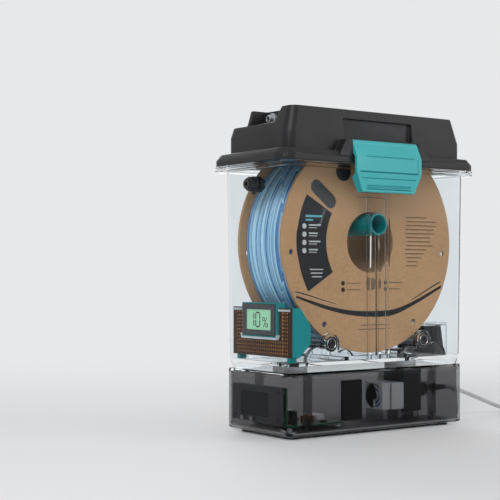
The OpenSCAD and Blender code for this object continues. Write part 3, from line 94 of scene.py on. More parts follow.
def feed(tree: Tree, target: Socket, value: Socket | float | Colour) -> None:
    """Feeds an input from another socket, or sets it to a plain value.

    Args:
        tree: The node tree.
        target: The input.
        value: The socket or the value.
    """
    if isinstance(value, bpy.types.NodeSocket):
        tree.links.new(value, target)
    else:
        target.default_value = value


def calculate(tree: Tree, operation: str, *values: Socket | float, clamp: bool = False) -> Socket:
    """Adds a Math node.

    Args:
        tree: The node tree.
        operation: Name of the operation.
        *values: What its inputs get, in order.
        clamp: Whether the result is held between 0 and 1.

    Returns:
        The result.
    """
    node = tree.nodes.new("ShaderNodeMath")
    node.operation = operation
    node.use_clamp = clamp
    for target, value in zip(node.inputs, values):
        feed(tree, target, value)
    return node.outputs["Value"]


def spread(tree: Tree, value: Socket, low: float, high: float, smooth: bool = False) -> Socket:
    """Stretches a part of a value's range to run from 0 to 1.

    Args:
        tree: The node tree.
        value: The value.
        low: What becomes 0.
        high: What becomes 1.
        smooth: Whether the change eases in and out.

    Returns:
        The stretched value.
    """
    node = tree.nodes.new("ShaderNodeMapRange")
    node.interpolation_type = "SMOOTHSTEP" if smooth else "LINEAR"
    feed(tree, node.inputs["Value"], value)
    feed(tree, node.inputs["From Min"], low)
    feed(tree, node.inputs["From Max"], high)
    return node.outputs["Result"]


def mix_colours(tree: Tree, share: Socket, first: Socket | Colour, second: Socket | Colour) -> Socket:
    """Mixes two colours.

    Args:
        tree: The node tree.
        share: Share of the second colour.
        first: The first colour.
        second: The second colour.

    Returns:
        The mixed colour.
    """
    node = tree.nodes.new("ShaderNodeMix")
    node.data_type = "RGBA"
    for name, value in (("Factor", share), ("A", first), ("B", second)):
        feed(tree, node.inputs[name], value)
    return node.outputs["Result"]


def mix_shaders(tree: Tree, share: Socket, first: Socket, second: Socket) -> Socket:
    """Mixes two shaders.

    Args:
        tree: The node tree.
        share: Share of the second shader.
        first: The first shader.
        second: The second shader.

    Returns:
        The mixed shader.
    """
    node = tree.nodes.new("ShaderNodeMixShader")
    for target, value in zip(node.inputs, (share, first, second)):
        feed(tree, target, value)
    return node.outputs["Shader"]


# ---------------------------------------------------------------------------
# Shader node groups shared by the finishes
# ---------------------------------------------------------------------------


class Effect(Enum):
    """The shared surface effects, one node group each."""

    GRAIN = "moulded_grain"
    MOTTLE = "colour_mottle"
    SMUDGE = "handling_smudge"
    FIBRE = "card_fibre"
    BRUSH = "brushed_lines"
    # paler edges: partly rubbing, partly a painted highlight
    WEAR = "edge_wear"


class EffectLibrary:
    """Builds each shared effect once and places it in materials."""

    def __init__(self) -> None:
        """Starts with no group built."""
        self._trees: dict[Effect, Tree] = {}

    def place(self, tree: Tree, effect: Effect, **values: Socket | float | Colour) -> Node:
        """Adds a group node for an effect to a material.

        Args:
            tree: The material's node tree.
            effect: The effect to place.
            **values: What the group's inputs get.

        Returns:
            The group node.
        """
        if effect not in self._trees:
            self._trees[effect] = self._build(effect)
        node = tree.nodes.new("ShaderNodeGroup")
        node.node_tree = self._trees[effect]
        for name, value in values.items():
            feed(tree, node.inputs[name], value)
        return node

    def _build(self, effect: Effect) -> Tree:
        """Builds the group of one effect.

        Args:
            effect: The effect to build.

        Returns:
            The new node group.
        """
        tree = bpy.data.node_groups.new(effect.value, "ShaderNodeTree")
        makers: dict[Effect, Callable[[Tree], None]] = {
            Effect.GRAIN: self._grain,
            Effect.MOTTLE: self._mottle,
            Effect.SMUDGE: self._smudge,
            Effect.FIBRE: self._fibre,
            Effect.BRUSH: self._brush,
            Effect.WEAR: self._wear,
        }
        makers[effect](tree)
        return tree

    @staticmethod
    def _open(tree: Tree, inputs: dict[str, float | None], *outputs: str) -> tuple[Node, Node]:
        """Gives a group its sockets and its two end nodes.

        Args:
            tree: The group.
            inputs: Each input's name and default, with None for a colour.
            *outputs: Names of the outputs, of which Colour is a colour.

        Returns:
            The group's input node and its output node.
        """
        for name, value in inputs.items():
            kind = "NodeSocketColor" if value is None else "NodeSocketFloat"
            socket = tree.interface.new_socket(name=name, in_out="INPUT", socket_type=kind)
            if value is not None:
                socket.default_value = value
        for name in outputs:
            kind = "NodeSocketColor" if name == "Colour" else "NodeSocketFloat"
            tree.interface.new_socket(name=name, in_out="OUTPUT", socket_type=kind)
        return tree.nodes.new("NodeGroupInput"), tree.nodes.new("NodeGroupOutput")

    @staticmethod
    def _noise(tree: Tree, scale: Socket | float, detail: float, stretch: Point = (1, 1, 1)) -> Socket:
        """Adds a noise texture on Object coordinates.

        Args:
            tree: The group.
            scale: Scale of the noise.
            detail: Detail of the noise.
            stretch: Scale of the coordinates along each axis.

        Returns:
            The noise.
        """
        place = tree.nodes.new("ShaderNodeTexCoord")
        turn = tree.nodes.new("ShaderNodeMapping")
        noise = tree.nodes.new("ShaderNodeTexNoise")
        feed(tree, turn.inputs["Vector"], place.outputs["Object"])
        feed(tree, turn.inputs["Scale"], stretch)
        feed(tree, noise.inputs["Vector"], turn.outputs["Vector"])
        feed(tree, noise.inputs["Scale"], scale)
        feed(tree, noise.inputs["Detail"], detail)
        return noise.outputs["Fac"]

    def _grain(self, tree: Tree) -> None:
        """Fine pits and bumps of a moulded face.

        Args:
            tree: The group.
        """
        start, end = self._open(tree, {"Scale": 1800.0}, "Height")
        fine = self._noise(tree, start.outputs["Scale"], detail=3.0)
        place = tree.nodes.new("ShaderNodeTexCoord")
        pits = tree.nodes.new("ShaderNodeTexVoronoi")
        feed(tree, pits.inputs["Vector"], place.outputs["Object"])
        feed(tree, pits.inputs["Scale"], start.outputs["Scale"])
        pit_share = 0.5
        height = calculate(tree, "MULTIPLY_ADD", pits.outputs["Distance"], pit_share, fine)
        feed(tree, end.inputs["Height"], height)

    def _mottle(self, tree: Tree) -> None:
        """Slow change of a colour between itself and a second one.

        Args:
            tree: The group.
        """
        start, end = self._open(tree, {"Colour": None, "Second": None, "Scale": 30.0}, "Colour")
        noise = self._noise(tree, start.outputs["Scale"], detail=5.0)
        share = spread(tree, noise, low=0.35, high=0.68)
        mixed = mix_colours(tree, share, start.outputs["Colour"], start.outputs["Second"])
        feed(tree, end.inputs["Colour"], mixed)

    def _smudge(self, tree: Tree) -> None:
        """Uneven roughness, as hands and dust leave it.

        Args:
            tree: The group.
        """
        start, end = self._open(tree, {"Roughness": 0.5, "Amount": 0.1, "Scale": 22.0}, "Roughness")
        noise = self._noise(tree, start.outputs["Scale"], detail=4.0, stretch=(1, 1, 0.6))
        noise_mean = 0.5
        swing = calculate(tree, "SUBTRACT", noise, noise_mean)
        amount, mean = start.outputs["Amount"], start.outputs["Roughness"]
        roughness = calculate(tree, "MULTIPLY_ADD", swing, amount, mean, clamp=True)
        feed(tree, end.inputs["Roughness"], roughness)

    def _fibre(self, tree: Tree) -> None:
        """Short fibres pressed in a sheet of card, with dark and pale flecks.

        Args:
            tree: The group.
        """
        _, end = self._open(tree, {}, "Height", "Fleck")
        along = self._noise(tree, 1.0, detail=6.0, stretch=(260, 1200, 1500))
        across = self._noise(tree, 1.0, detail=6.0, stretch=(1500, 1200, 320))
        both = calculate(tree, "ADD", along, across)
        feed(tree, end.inputs["Height"], both)
        feed(tree, end.inputs["Fleck"], spread(tree, both, low=0.85, high=1.2))

    def _brush(self, tree: Tree) -> None:
        """Fine lines left by turning or brushing, along Y."""
        _, end = self._open(tree, {}, "Height")
        feed(tree, end.inputs["Height"], self._noise(tree, 1.0, detail=3.0, stretch=(2600, 40, 2600)))

    def _wear(self, tree: Tree) -> None:
        """Paler edges, broken up by noise: partly rubbing, partly a painted highlight along the edges.

        Args:
            tree: The group.
        """
        start, end = self._open(tree, {"Colour": None, "Edge": None, "Amount": 0.5}, "Colour")
        shape = tree.nodes.new("ShaderNodeNewGeometry")
        ridge = spread(tree, shape.outputs["Pointiness"], low=0.53, high=0.62)
        broken = calculate(tree, "MULTIPLY", ridge, self._noise(tree, 160.0, detail=4.0))
        share = calculate(tree, "MULTIPLY", broken, start.outputs["Amount"])
        mixed = mix_colours(tree, share, start.outputs["Colour"], start.outputs["Edge"])
        feed(tree, end.inputs["Colour"], mixed)


# ---------------------------------------------------------------------------
# Finishes
# ---------------------------------------------------------------------------


def shade(colour: Colour, factor: float) -> Colour:
    """Returns the colour made lighter or darker by a factor."""
    return (colour[0] * factor, colour[1] * factor, colour[2] * factor, 1.0)


class Paint:
    """A node material in the making: its tree, its Principled shader and its output."""

    def __init__(self, name: str, effects: EffectLibrary) -> None:
        """Makes a material that holds the shader and the output only.

        Args:
            name: Name of the material.
            effects: The shared effects.
        """
        self.material = bpy.data.materials.new(name)
        self.material.use_nodes = True
        self.tree = self.material.node_tree
        self.tree.nodes.clear()
        self.effects = effects
        self.shader = self.tree.nodes.new("ShaderNodeBsdfPrincipled")
        self.out = self.tree.nodes.new("ShaderNodeOutputMaterial")
        feed(self.tree, self.out.inputs["Surface"], self.shader.outputs["BSDF"])

    def give(self, name: str, value: Socket | float | Colour) -> None:
        """Feeds or sets one input of the shader.

        Args:
            name: Name of the input.
            value: The socket or the value.
        """
        feed(self.tree, self.shader.inputs[name], value)

    def mottle(self, colour: Colour, second: float, scale: float) -> Socket:
        """Varies a colour slowly.

        Args:
            colour: The colour.
            second: Factor of the darker tone it changes to.
            scale: Scale of the change.

        Returns:
            The varied colour.
        """
        node = self.effects.place(
            self.tree, Effect.MOTTLE, Colour=colour, Second=shade(colour, second), Scale=scale
        )
        return node.outputs["Colour"]

    def smudge(self, roughness: float, amount: float, scale: float = 22.0) -> None:
        """Gives the shader an uneven roughness.

        Args:
            roughness: Its mean.
            amount: How far it swings.
            scale: Scale of the change.
        """
        node = self.effects.place(self.tree, Effect.SMUDGE, Roughness=roughness, Amount=amount, Scale=scale)
        self.give("Roughness", node.outputs["Roughness"])

    def relief(self, height: Socket, depth: float) -> None:
        """Feeds a height through a Bump node to the shader's normal.

        Args:
            height: The height.
            depth: Depth of the relief in metres.
        """
        bump = self.tree.nodes.new("ShaderNodeBump")
        feed(self.tree, bump.inputs["Strength"], 1.0)
        feed(self.tree, bump.inputs["Distance"], depth)
        feed(self.tree, bump.inputs["Height"], height)
        self.give("Normal", bump.outputs["Normal"])

    def grain(self, scale: float, depth: float) -> None:
        """Gives the surface a moulded grain.

        Args:
            scale: Scale of the grain.
            depth: Depth of the relief in metres.
        """
        self.relief(self.effects.place(self.tree, Effect.GRAIN, Scale=scale).outputs["Height"], depth)


@dataclass(frozen=True)
class Finish:
    """What every finish has: the name of its material and the way to build it."""

    name: str

    def build(self, effects: EffectLibrary) -> bpy.types.Material:
        """Makes the node material.

        Args:
            effects: The shared effects.

        Returns:
            The material.
        """
        paint = Paint(self.name, effects)
        self.fill(paint)
        return paint.material

    def fill(self, paint: Paint) -> None:
        """Adds the finish's own nodes to a new material."""
        raise NotImplementedError


@dataclass(frozen=True)
class PlasticFinish(Finish):
    """A moulded or cast surface in one colour, with grain, mottling and paler edges, partly rubbed and partly
    a painted highlight.
    """

    colour: Colour
    roughness: float = 0.5
    grain: float = 1800.0
    depth: float = 0.00004
    second: float = 0.82
    # the paler edges set here are partly rubbing and partly a painted highlight
    edge: float = 1.5
    wear: float = 0.35
    coat: float = 0.0
    metal: float = 0.0
    shine: float = 0.5

    def fill(self, paint: Paint) -> None:
        """Adds the finish's own nodes to a new material.

        Args:
            paint: The material in the making.
        """
        base = paint.mottle(self.colour, self.second, scale=38.0)
        # paler edges: partly rubbing, partly a painted highlight
        pale = shade(self.colour, self.edge)
        worn_and_highlit = paint.effects.place(paint.tree, Effect.WEAR, Colour=base, Edge=pale, Amount=self.wear)
        paint.give("Base Color", worn_and_highlit.outputs["Colour"])
        paint.smudge(self.roughness, amount=0.22)
        paint.give("Coat Weight", self.coat)
        paint.give("Coat Roughness", 0.12)
        paint.give("Metallic", self.metal)
        paint.give("Specular IOR Level", self.shine)
        paint.grain(self.grain, self.depth)


@dataclass(frozen=True)
class MetalFinish(Finish):
    """Bare metal with fine turning lines."""

    colour: Colour
    roughness: float = 0.3
    depth: float = 0.00002

    def fill(self, paint: Paint) -> None:
        """Adds the finish's own nodes to a new material.

        Args:
            paint: The material in the making.
        """
        paint.give("Base Color", paint.mottle(self.colour, 0.8, scale=60.0))
        paint.smudge(self.roughness, amount=0.25, scale=70.0)
        paint.give("Metallic", 1.0)
        lines = paint.effects.place(paint.tree, Effect.BRUSH)
        paint.relief(lines.outputs["Height"], self.depth)


@dataclass(frozen=True)
class ClearFinish(Finish):
    """A see-through moulding: it bends the view, lets light in, and keeps faint handling marks."""

    tint: Colour
    passes: Colour
    roughness: float = 0.02
    ior: float = 1.4
    depth: float = 0.000004
    glint: float = 1.0
    weight: float = 1.0

    def fill(self, paint: Paint) -> None:
        """Adds the finish's own nodes to a new material.

        Args:
            paint: The material in the making.
        """
        paint.give("Base Color", paint.mottle(self.tint, 0.94, scale=14.0))
        paint.smudge(self.roughness, amount=0.03, scale=35.0)
        paint.give("Transmission Weight", self.weight)
        paint.give("IOR", self.ior)
        paint.give("Specular Tint", (self.glint, self.glint, self.glint, 1.0))
        paint.grain(300.0, self.depth)
        path = paint.tree.nodes.new("ShaderNodeLightPath")
        lit = calculate(paint.tree, "MAXIMUM", path.outputs["Is Shadow Ray"], path.outputs["Is Diffuse Ray"])
        clear = paint.tree.nodes.new("ShaderNodeBsdfTransparent")
        feed(paint.tree, clear.inputs["Color"], self.passes)
        mixed = mix_shaders(paint.tree, lit, paint.shader.outputs["BSDF"], clear.outputs["BSDF"])
        feed(paint.tree, paint.out.inputs["Surface"], mixed)


@dataclass(frozen=True)
class CardFinish(Finish):
    """Pressed brown card with fibres and flecks."""

    colour: Colour

    def fill(self, paint: Paint) -> None:
        """Adds the finish's own nodes to a new material.

        Args:
            paint: The material in the making.
        """
        base = paint.mottle(self.colour, 0.86, scale=24.0)
        fibre = paint.effects.place(paint.tree, Effect.FIBRE)
        flecked = mix_colours(paint.tree, fibre.outputs["Fleck"], base, shade(self.colour, 1.12))
        paint.give("Base Color", flecked)
        paint.smudge(0.82, amount=0.15)
        paint.give("Specular IOR Level", 0.25)
        paint.relief(fibre.outputs["Height"], depth=0.00005)


@dataclass(frozen=True)
class StrandFinish(Finish):
    """Glossy filament whose strands differ in tone from the pale to the deep colour, a painted highlight and
    a painted shade.
    """

    # pale is a painted highlight, deep a painted shade
    pale: Colour
    deep: Colour

    def fill(self, paint: Paint) -> None:
        """Adds the finish's own nodes to a new material.

        Args:
            paint: The material in the making.
        """
        tone = paint.tree.nodes.new("ShaderNodeAttribute")
        tone.attribute_name = "tone"
        paint.give("Base Color", mix_colours(paint.tree, tone.outputs["Fac"], self.deep, self.pale))
        paint.smudge(0.28, amount=0.2, scale=60.0)
        paint.give("Coat Weight", 0.3)
        paint.grain(900.0, depth=0.00002)


@dataclass(frozen=True)
class GlowFinish(Finish):
    """A display face, printed or made to look lit; its emission is painted light, as the face holds no lamp.
    """

    colour: Colour
    painted_light: float = 0.25
    roughness: float = 0.35

    def fill(self, paint: Paint) -> None:
        """Adds the finish's own nodes to a new material.

        Args:
            paint: The material in the making.
        """
        base = paint.mottle(self.colour, 0.93, scale=45.0)
        paint.give("Base Color", base)
        # the emission is painted light
        paint.give("Emission Color", base)
        paint.give("Emission Strength", self.painted_light)
        paint.smudge(self.roughness, amount=0.1, scale=80.0)


class Finishes:
    """All finishes of the dryer box, built on first use."""

    SPECS: tuple[Finish, ...] = (
        # the lid's strongly paler edges are mostly a painted highlight
        PlasticFinish(
            "charcoal_lid", (0.02, 0.02, 0.0215, 1), 0.36, grain=2200, depth=0.00003, edge=3.0, wear=0.6,
            shine=0.22,
        ),
        PlasticFinish(
            "latch_teal", (0.035, 0.42, 0.44, 1), 0.4, grain=2400, depth=0.00002, second=0.92, edge=1.6,
        ),
        # painted shade for the grooves in the latches
        PlasticFinish(
            "groove_painted_shade", (0.0, 0.2, 0.22, 1), 0.5, grain=2400, depth=0.00002, wear=0.0, shine=0.2,
        ),
        PlasticFinish(
            "case_teal", (0.0, 0.24, 0.25, 1), 0.4, grain=2200, depth=0.00002, second=0.9, shine=0.2,
        ),
        PlasticFinish("tube_teal", (0.0, 0.225, 0.24, 1), 0.3, depth=0.00001, second=0.9, shine=0.3),
        PlasticFinish("black_moulding", (0.018, 0.018, 0.02, 1), 0.45, edge=2.5),
        PlasticFinish("soft_black", (0.012, 0.012, 0.013, 1), 0.85, grain=900, depth=0.00006, wear=0.2),
        PlasticFinish("foam_black", (0.02, 0.02, 0.022, 1), 0.95, grain=500, depth=0.0006, wear=0.0),
        PlasticFinish("seal_grey", (0.16, 0.16, 0.165, 1), 0.7, grain=900, wear=0.1),
        PlasticFinish("seal_pale", (0.5, 0.51, 0.52, 1), 0.5, grain=900, wear=0.1),
        PlasticFinish("frame_grey", (0.085, 0.085, 0.09, 1), 0.5),
        PlasticFinish("white_moulding", (0.78, 0.8, 0.84, 1), 0.4, second=0.95, edge=1.05),
        PlasticFinish("fan_blue", (0.12, 0.4, 0.66, 1), 0.35),
        PlasticFinish("board_green", (0.012, 0.09, 0.045, 1), 0.35, grain=700, depth=0.00002, coat=0.4),
        PlasticFinish("silver_moulding", (0.45, 0.46, 0.48, 1), 0.3, metal=0.6),
        PlasticFinish("gloss_black", (0.014, 0.014, 0.016, 1), 0.25, depth=0.00001, coat=0.3, wear=0.3),
        PlasticFinish("bearing_black", (0.006, 0.006, 0.007, 1), 0.45, depth=0.00001, wear=0.0, shine=0.2),
        PlasticFinish("lead_grey", (0.5, 0.51, 0.52, 1), 0.35, depth=0.00001, wear=0.0),
        PlasticFinish(
            "grille_brown", (0.05, 0.02, 0.008, 1), 0.5, grain=2600, depth=0.00002, edge=2.0, shine=0.2,
        ),
        PlasticFinish("bead_orange", (0.85, 0.33, 0.05, 1), 0.3, grain=3000, second=0.6, coat=0.4),
        PlasticFinish("hygrometer_grey", (0.04, 0.037, 0.042, 1), 0.45, edge=2.2),
        PlasticFinish(
            "print_black", (0.018, 0.018, 0.021, 1), 0.6, grain=3000, depth=0.00001, wear=0.0, shine=0.2,
        ),
        PlasticFinish("window_film", (0.008, 0.009, 0.012, 1), 0.35, grain=3000, depth=0.00001, wear=0.0),
        PlasticFinish("window_thread", (0.075, 0.085, 0.11, 1), 0.5, grain=3000, depth=0.00001, wear=0.0),
        PlasticFinish("print_brown", (0.2, 0.125, 0.07, 1), 0.75, grain=3000, depth=0.00001, wear=0.0),
        PlasticFinish("print_pale", (0.6, 0.61, 0.62, 1), 0.6, grain=3000, depth=0.00001, wear=0.0),
        PlasticFinish("print_cyan", (0.1, 0.45, 0.5, 1), 0.6, grain=3000, depth=0.00001, wear=0.0),
        PlasticFinish("lcd_ink", (0.01, 0.018, 0.014, 1), 0.4, depth=0.000005, wear=0.0),
        PlasticFinish("copper_wire", (0.55, 0.22, 0.08, 1), 0.3, metal=0.9),
        MetalFinish("roller_steel", (0.56, 0.57, 0.59, 1), 0.28),
        MetalFinish("screw_steel", (0.5, 0.5, 0.52, 1), 0.35),
        MetalFinish("fin_aluminium", (0.72, 0.73, 0.75, 1), 0.35),
        MetalFinish("contact_brass", (0.72, 0.56, 0.28, 1), 0.3),
        ClearFinish("clear_box", (0.93, 0.96, 0.975, 1), (0.97, 0.98, 0.99, 1), ior=1.16, glint=0.4),
        ClearFinish("clear_insert", (0.93, 0.96, 0.975, 1), (0.96, 0.98, 0.99, 1), 0.04, ior=1.25),
        # pale and half see-through: a painted glint on the clear clips
        ClearFinish("clear_clip_painted_glint", (0.9, 0.94, 0.96, 1), (0.9, 0.94, 0.96, 1), 0.1, ior=1.5, weight=0.45),
        # painted shade along the inner edges of the guide ribs
        ClearFinish("rib_painted_shade", (0.12, 0.12, 0.125, 1), (0.8, 0.8, 0.8, 1), ior=1.16, glint=0.2),
        ClearFinish("smoked_dock", (0.37, 0.37, 0.375, 1), (0.92, 0.92, 0.92, 1), 0.03, ior=1.16, glint=0.6),
        CardFinish("spool_card", (0.49, 0.29, 0.15, 1)),
        CardFinish("core_card", (0.3, 0.18, 0.1, 1)),
        # the pale colour is a painted highlight, the deep one a painted shade
        StrandFinish("wound_blue", (0.55, 0.86, 1.0, 1), (0.008, 0.17, 0.45, 1)),
        # its emission is painted light; the display holds no lamp
        GlowFinish("lcd_green_painted_light", (0.33, 0.66, 0.42, 1), 0.25),
        GlowFinish("dock_glass", (0.015, 0.02, 0.03, 1), 0.0, 0.12),
    )

    def __init__(self) -> None:
        """Indexes the specifications by name."""
        self._effects = EffectLibrary()
        self._specs = {spec.name: spec for spec in self.SPECS}
        self._made: dict[str, bpy.types.Material] = {}

    def get(self, name: str) -> bpy.types.Material:
        """Returns the material of that name, made on first use."""
        if name not in self._made:
            self._made[name] = self._specs[name].build(self._effects)
        return self._made[name]

    def dress(self, obj: Object, name: str) -> Object:
        """Gives an object one finish all over.

        Args:
            obj: The object.
            name: Name of the finish.

        Returns:
            The object.
        """
        obj.data.materials.clear()
        obj.data.materials.append(self.get(name))
        return obj


# ---------------------------------------------------------------------------
# Modelling helpers
# ---------------------------------------------------------------------------


def deselect_all() -> None:
    """Leaves edit mode and deselects every object."""
    if bpy.context.object is not None and bpy.context.object.mode != "OBJECT":
        bpy.ops.object.mode_set(mode="OBJECT")
    bpy.ops.object.select_all(action="DESELECT")


def pick(obj: Object) -> Object:
    """Makes an object the only selected and active one.

    Args:
        obj: The object.

    Returns:
        The object.
    """
    deselect_all()
    obj.select_set(True)
    bpy.context.view_layer.objects.active = obj
    return obj


def edit(obj: Object, *steps: Callable[[], object]) -> Object:
    """Runs operators in edit mode on the whole mesh.

    Args:
        obj: The object.
        *steps: Calls without arguments, run in order.

    Returns:
        The object.
    """
    pick(obj)
    bpy.ops.object.mode_set(mode="EDIT")
    bpy.ops.mesh.select_all(action="SELECT")
    for step in steps:
        step()
    bpy.ops.object.mode_set(mode="OBJECT")
    return obj


def apply_modifiers(obj: Object) -> Object:
    """Applies all modifiers of an object in order.

    Args:
        obj: The object.

    Returns:
        The object.
    """
    pick(obj)
    for modifier in list(obj.modifiers):
        bpy.ops.object.modifier_apply(modifier=modifier.name)
    return obj


def soften(obj: Object, width: float) -> Object:
    """Rounds the sharp edges of an object and shades it smooth.

    Args:
        obj: The object.
        width: Width of the rounding in metres.

    Returns:
        The object.
    """
    bevel = obj.modifiers.new("rounding", "BEVEL")
    bevel.width = width
    bevel.segments = 2
    bevel.limit_method = "ANGLE"
    bevel.angle_limit = SHARP
    apply_modifiers(obj)
    bpy.ops.object.shade_smooth_by_angle(angle=SOFT_SHADED)
    return obj


def settle(obj: Object) -> Object:
    """Moves an object's place, turn and scale into its mesh.

    Args:
        obj: The object.

    Returns:
        The object.
    """
    pick(obj)
    bpy.ops.object.transform_apply(location=True, rotation=True, scale=True)
    return obj


def block(name: str, low: Point, high: Point, rounding: float = 0.0) -> Object:
    """Models a block between two corners, with rounded edges.

    Args:
        name: Name of the piece.
        low: Lowest corner in metres.
        high: Highest corner in metres.
        rounding: Width of the rounding.

    Returns:
        The new object.
    """
    deselect_all()
    centre = [(a + b) / 2 for a, b in zip(low, high)]
    bpy.ops.mesh.primitive_cube_add(size=1, location=centre)
    obj = bpy.context.object
    obj.name = name
    obj.scale = [b - a for a, b in zip(low, high)]
    settle(obj)
    if rounding:
        soften(obj, rounding)
    return obj


def rod(name: str, radius: float, start: Point, end: Point, sides: int = 32, rounding: float = 0.0) -> Object:
    """Models a round bar between two points.

    Args:
        name: Name of the piece.
        radius: Radius in metres.
        start: Centre of one end.
        end: Centre of the other end.
        sides: Number of sides.
        rounding: Width of the rounding at the ends.

    Returns:
        The new object.
    """
    deselect_all()
    a, b = Vector(start), Vector(end)
    way = b - a
    bpy.ops.mesh.primitive_cylinder_add(vertices=sides, radius=radius, depth=way.length, location=(a + b) / 2)
    obj = bpy.context.object
    obj.name = name
    obj.rotation_mode = "QUATERNION"
    obj.rotation_quaternion = way.to_track_quat("Z", "Y")
    settle(obj)
    if rounding:
        soften(obj, rounding)
    else:
        bpy.ops.object.shade_smooth_by_angle(angle=SHARP)
    return obj


def turned(name: str, profile: Sequence[Pair], centre: Point, axis: Vector, steps: int = 48) -> Object:
    """Models a turned piece by spinning a profile.

    Args:
        name: Name of the piece.
        profile: Pairs of radius and place along the axis, in metres, round a closed section.
        centre: Where the axis passes.
        axis: Direction of the axis.
        steps: Number of steps round.

    Returns:
        The new object.
    """
    deselect_all()
    bpy.ops.mesh.primitive_circle_add(vertices=len(profile), fill_type="NOTHING")
    obj = bpy.context.object
    obj.name = name
    for vertex, (radius, height) in zip(obj.data.vertices, profile):
        vertex.co = (radius, 0.0, height)
    edit(
        obj,
        lambda: bpy.ops.mesh.spin(steps=steps, angle=math.tau, center=(0, 0, 0), axis=(0, 0, 1), dupli=False),
        lambda: bpy.ops.mesh.select_all(action="SELECT"),
        lambda: bpy.ops.mesh.remove_doubles(threshold=SAME_PLACE),
        lambda: bpy.ops.mesh.normals_make_consistent(inside=False),
    )
    obj.rotation_mode = "QUATERNION"
    obj.rotation_quaternion = axis.to_track_quat("Z", "Y")
    obj.location = centre
    settle(obj)
    bpy.ops.object.shade_smooth_by_angle(angle=SHARP)
    return obj


def plate(name: str, corners: Sequence[Point], outward: Point, thickness: float) -> Object:
    """Models a flat plate: a filled ring with its corners placed, given a thickness behind it.

    Args:
        name: Name of the piece.
        corners: Corners of the outer face in metres, in order round it.
        outward: Where the outer face looks.
        thickness: Thickness behind the outer face.

    Returns:
        The new object.
    """
    deselect_all()
    bpy.ops.mesh.primitive_circle_add(vertices=len(corners), fill_type="NGON")
    obj = bpy.context.object
    obj.name = name
    for vertex, corner in zip(obj.data.vertices, corners):
        vertex.co = corner
    obj.data.update()
    if obj.data.polygons[0].normal.dot(Vector(outward)) < 0:
        edit(obj, lambda: bpy.ops.mesh.flip_normals())
    solid = obj.modifiers.new("thickness", "SOLIDIFY")
    solid.thickness = thickness
    solid.offset = -1.0
    apply_modifiers(obj)
    return obj


def joined(name: str, parts: Iterable[Object]) -> Object:
    """Joins objects into one piece.

    Args:
        name: Name of the piece.
        parts: The objects, at least one.

    Returns:
        The joined object.
    """
    members = list(parts)
    deselect_all()
    for member in members:
        member.select_set(True)
    bpy.context.view_layer.objects.active = members[0]
    if len(members) > 1:
        bpy.ops.object.join()
    obj = bpy.context.object
    obj.name = name
    return obj


def copied(obj: Object, offset: Point = (0, 0, 0)) -> Object:
    """Copies a piece with its own mesh, moved by an offset.

    Args:
        obj: The piece.
        offset: The move in metres.

    Returns:
        The copy.
    """
    twin = obj.copy()
    twin.data = obj.data.copy()
    bpy.context.scene.collection.objects.link(twin)
    twin.data.transform(Matrix.Translation(offset))
    return twin


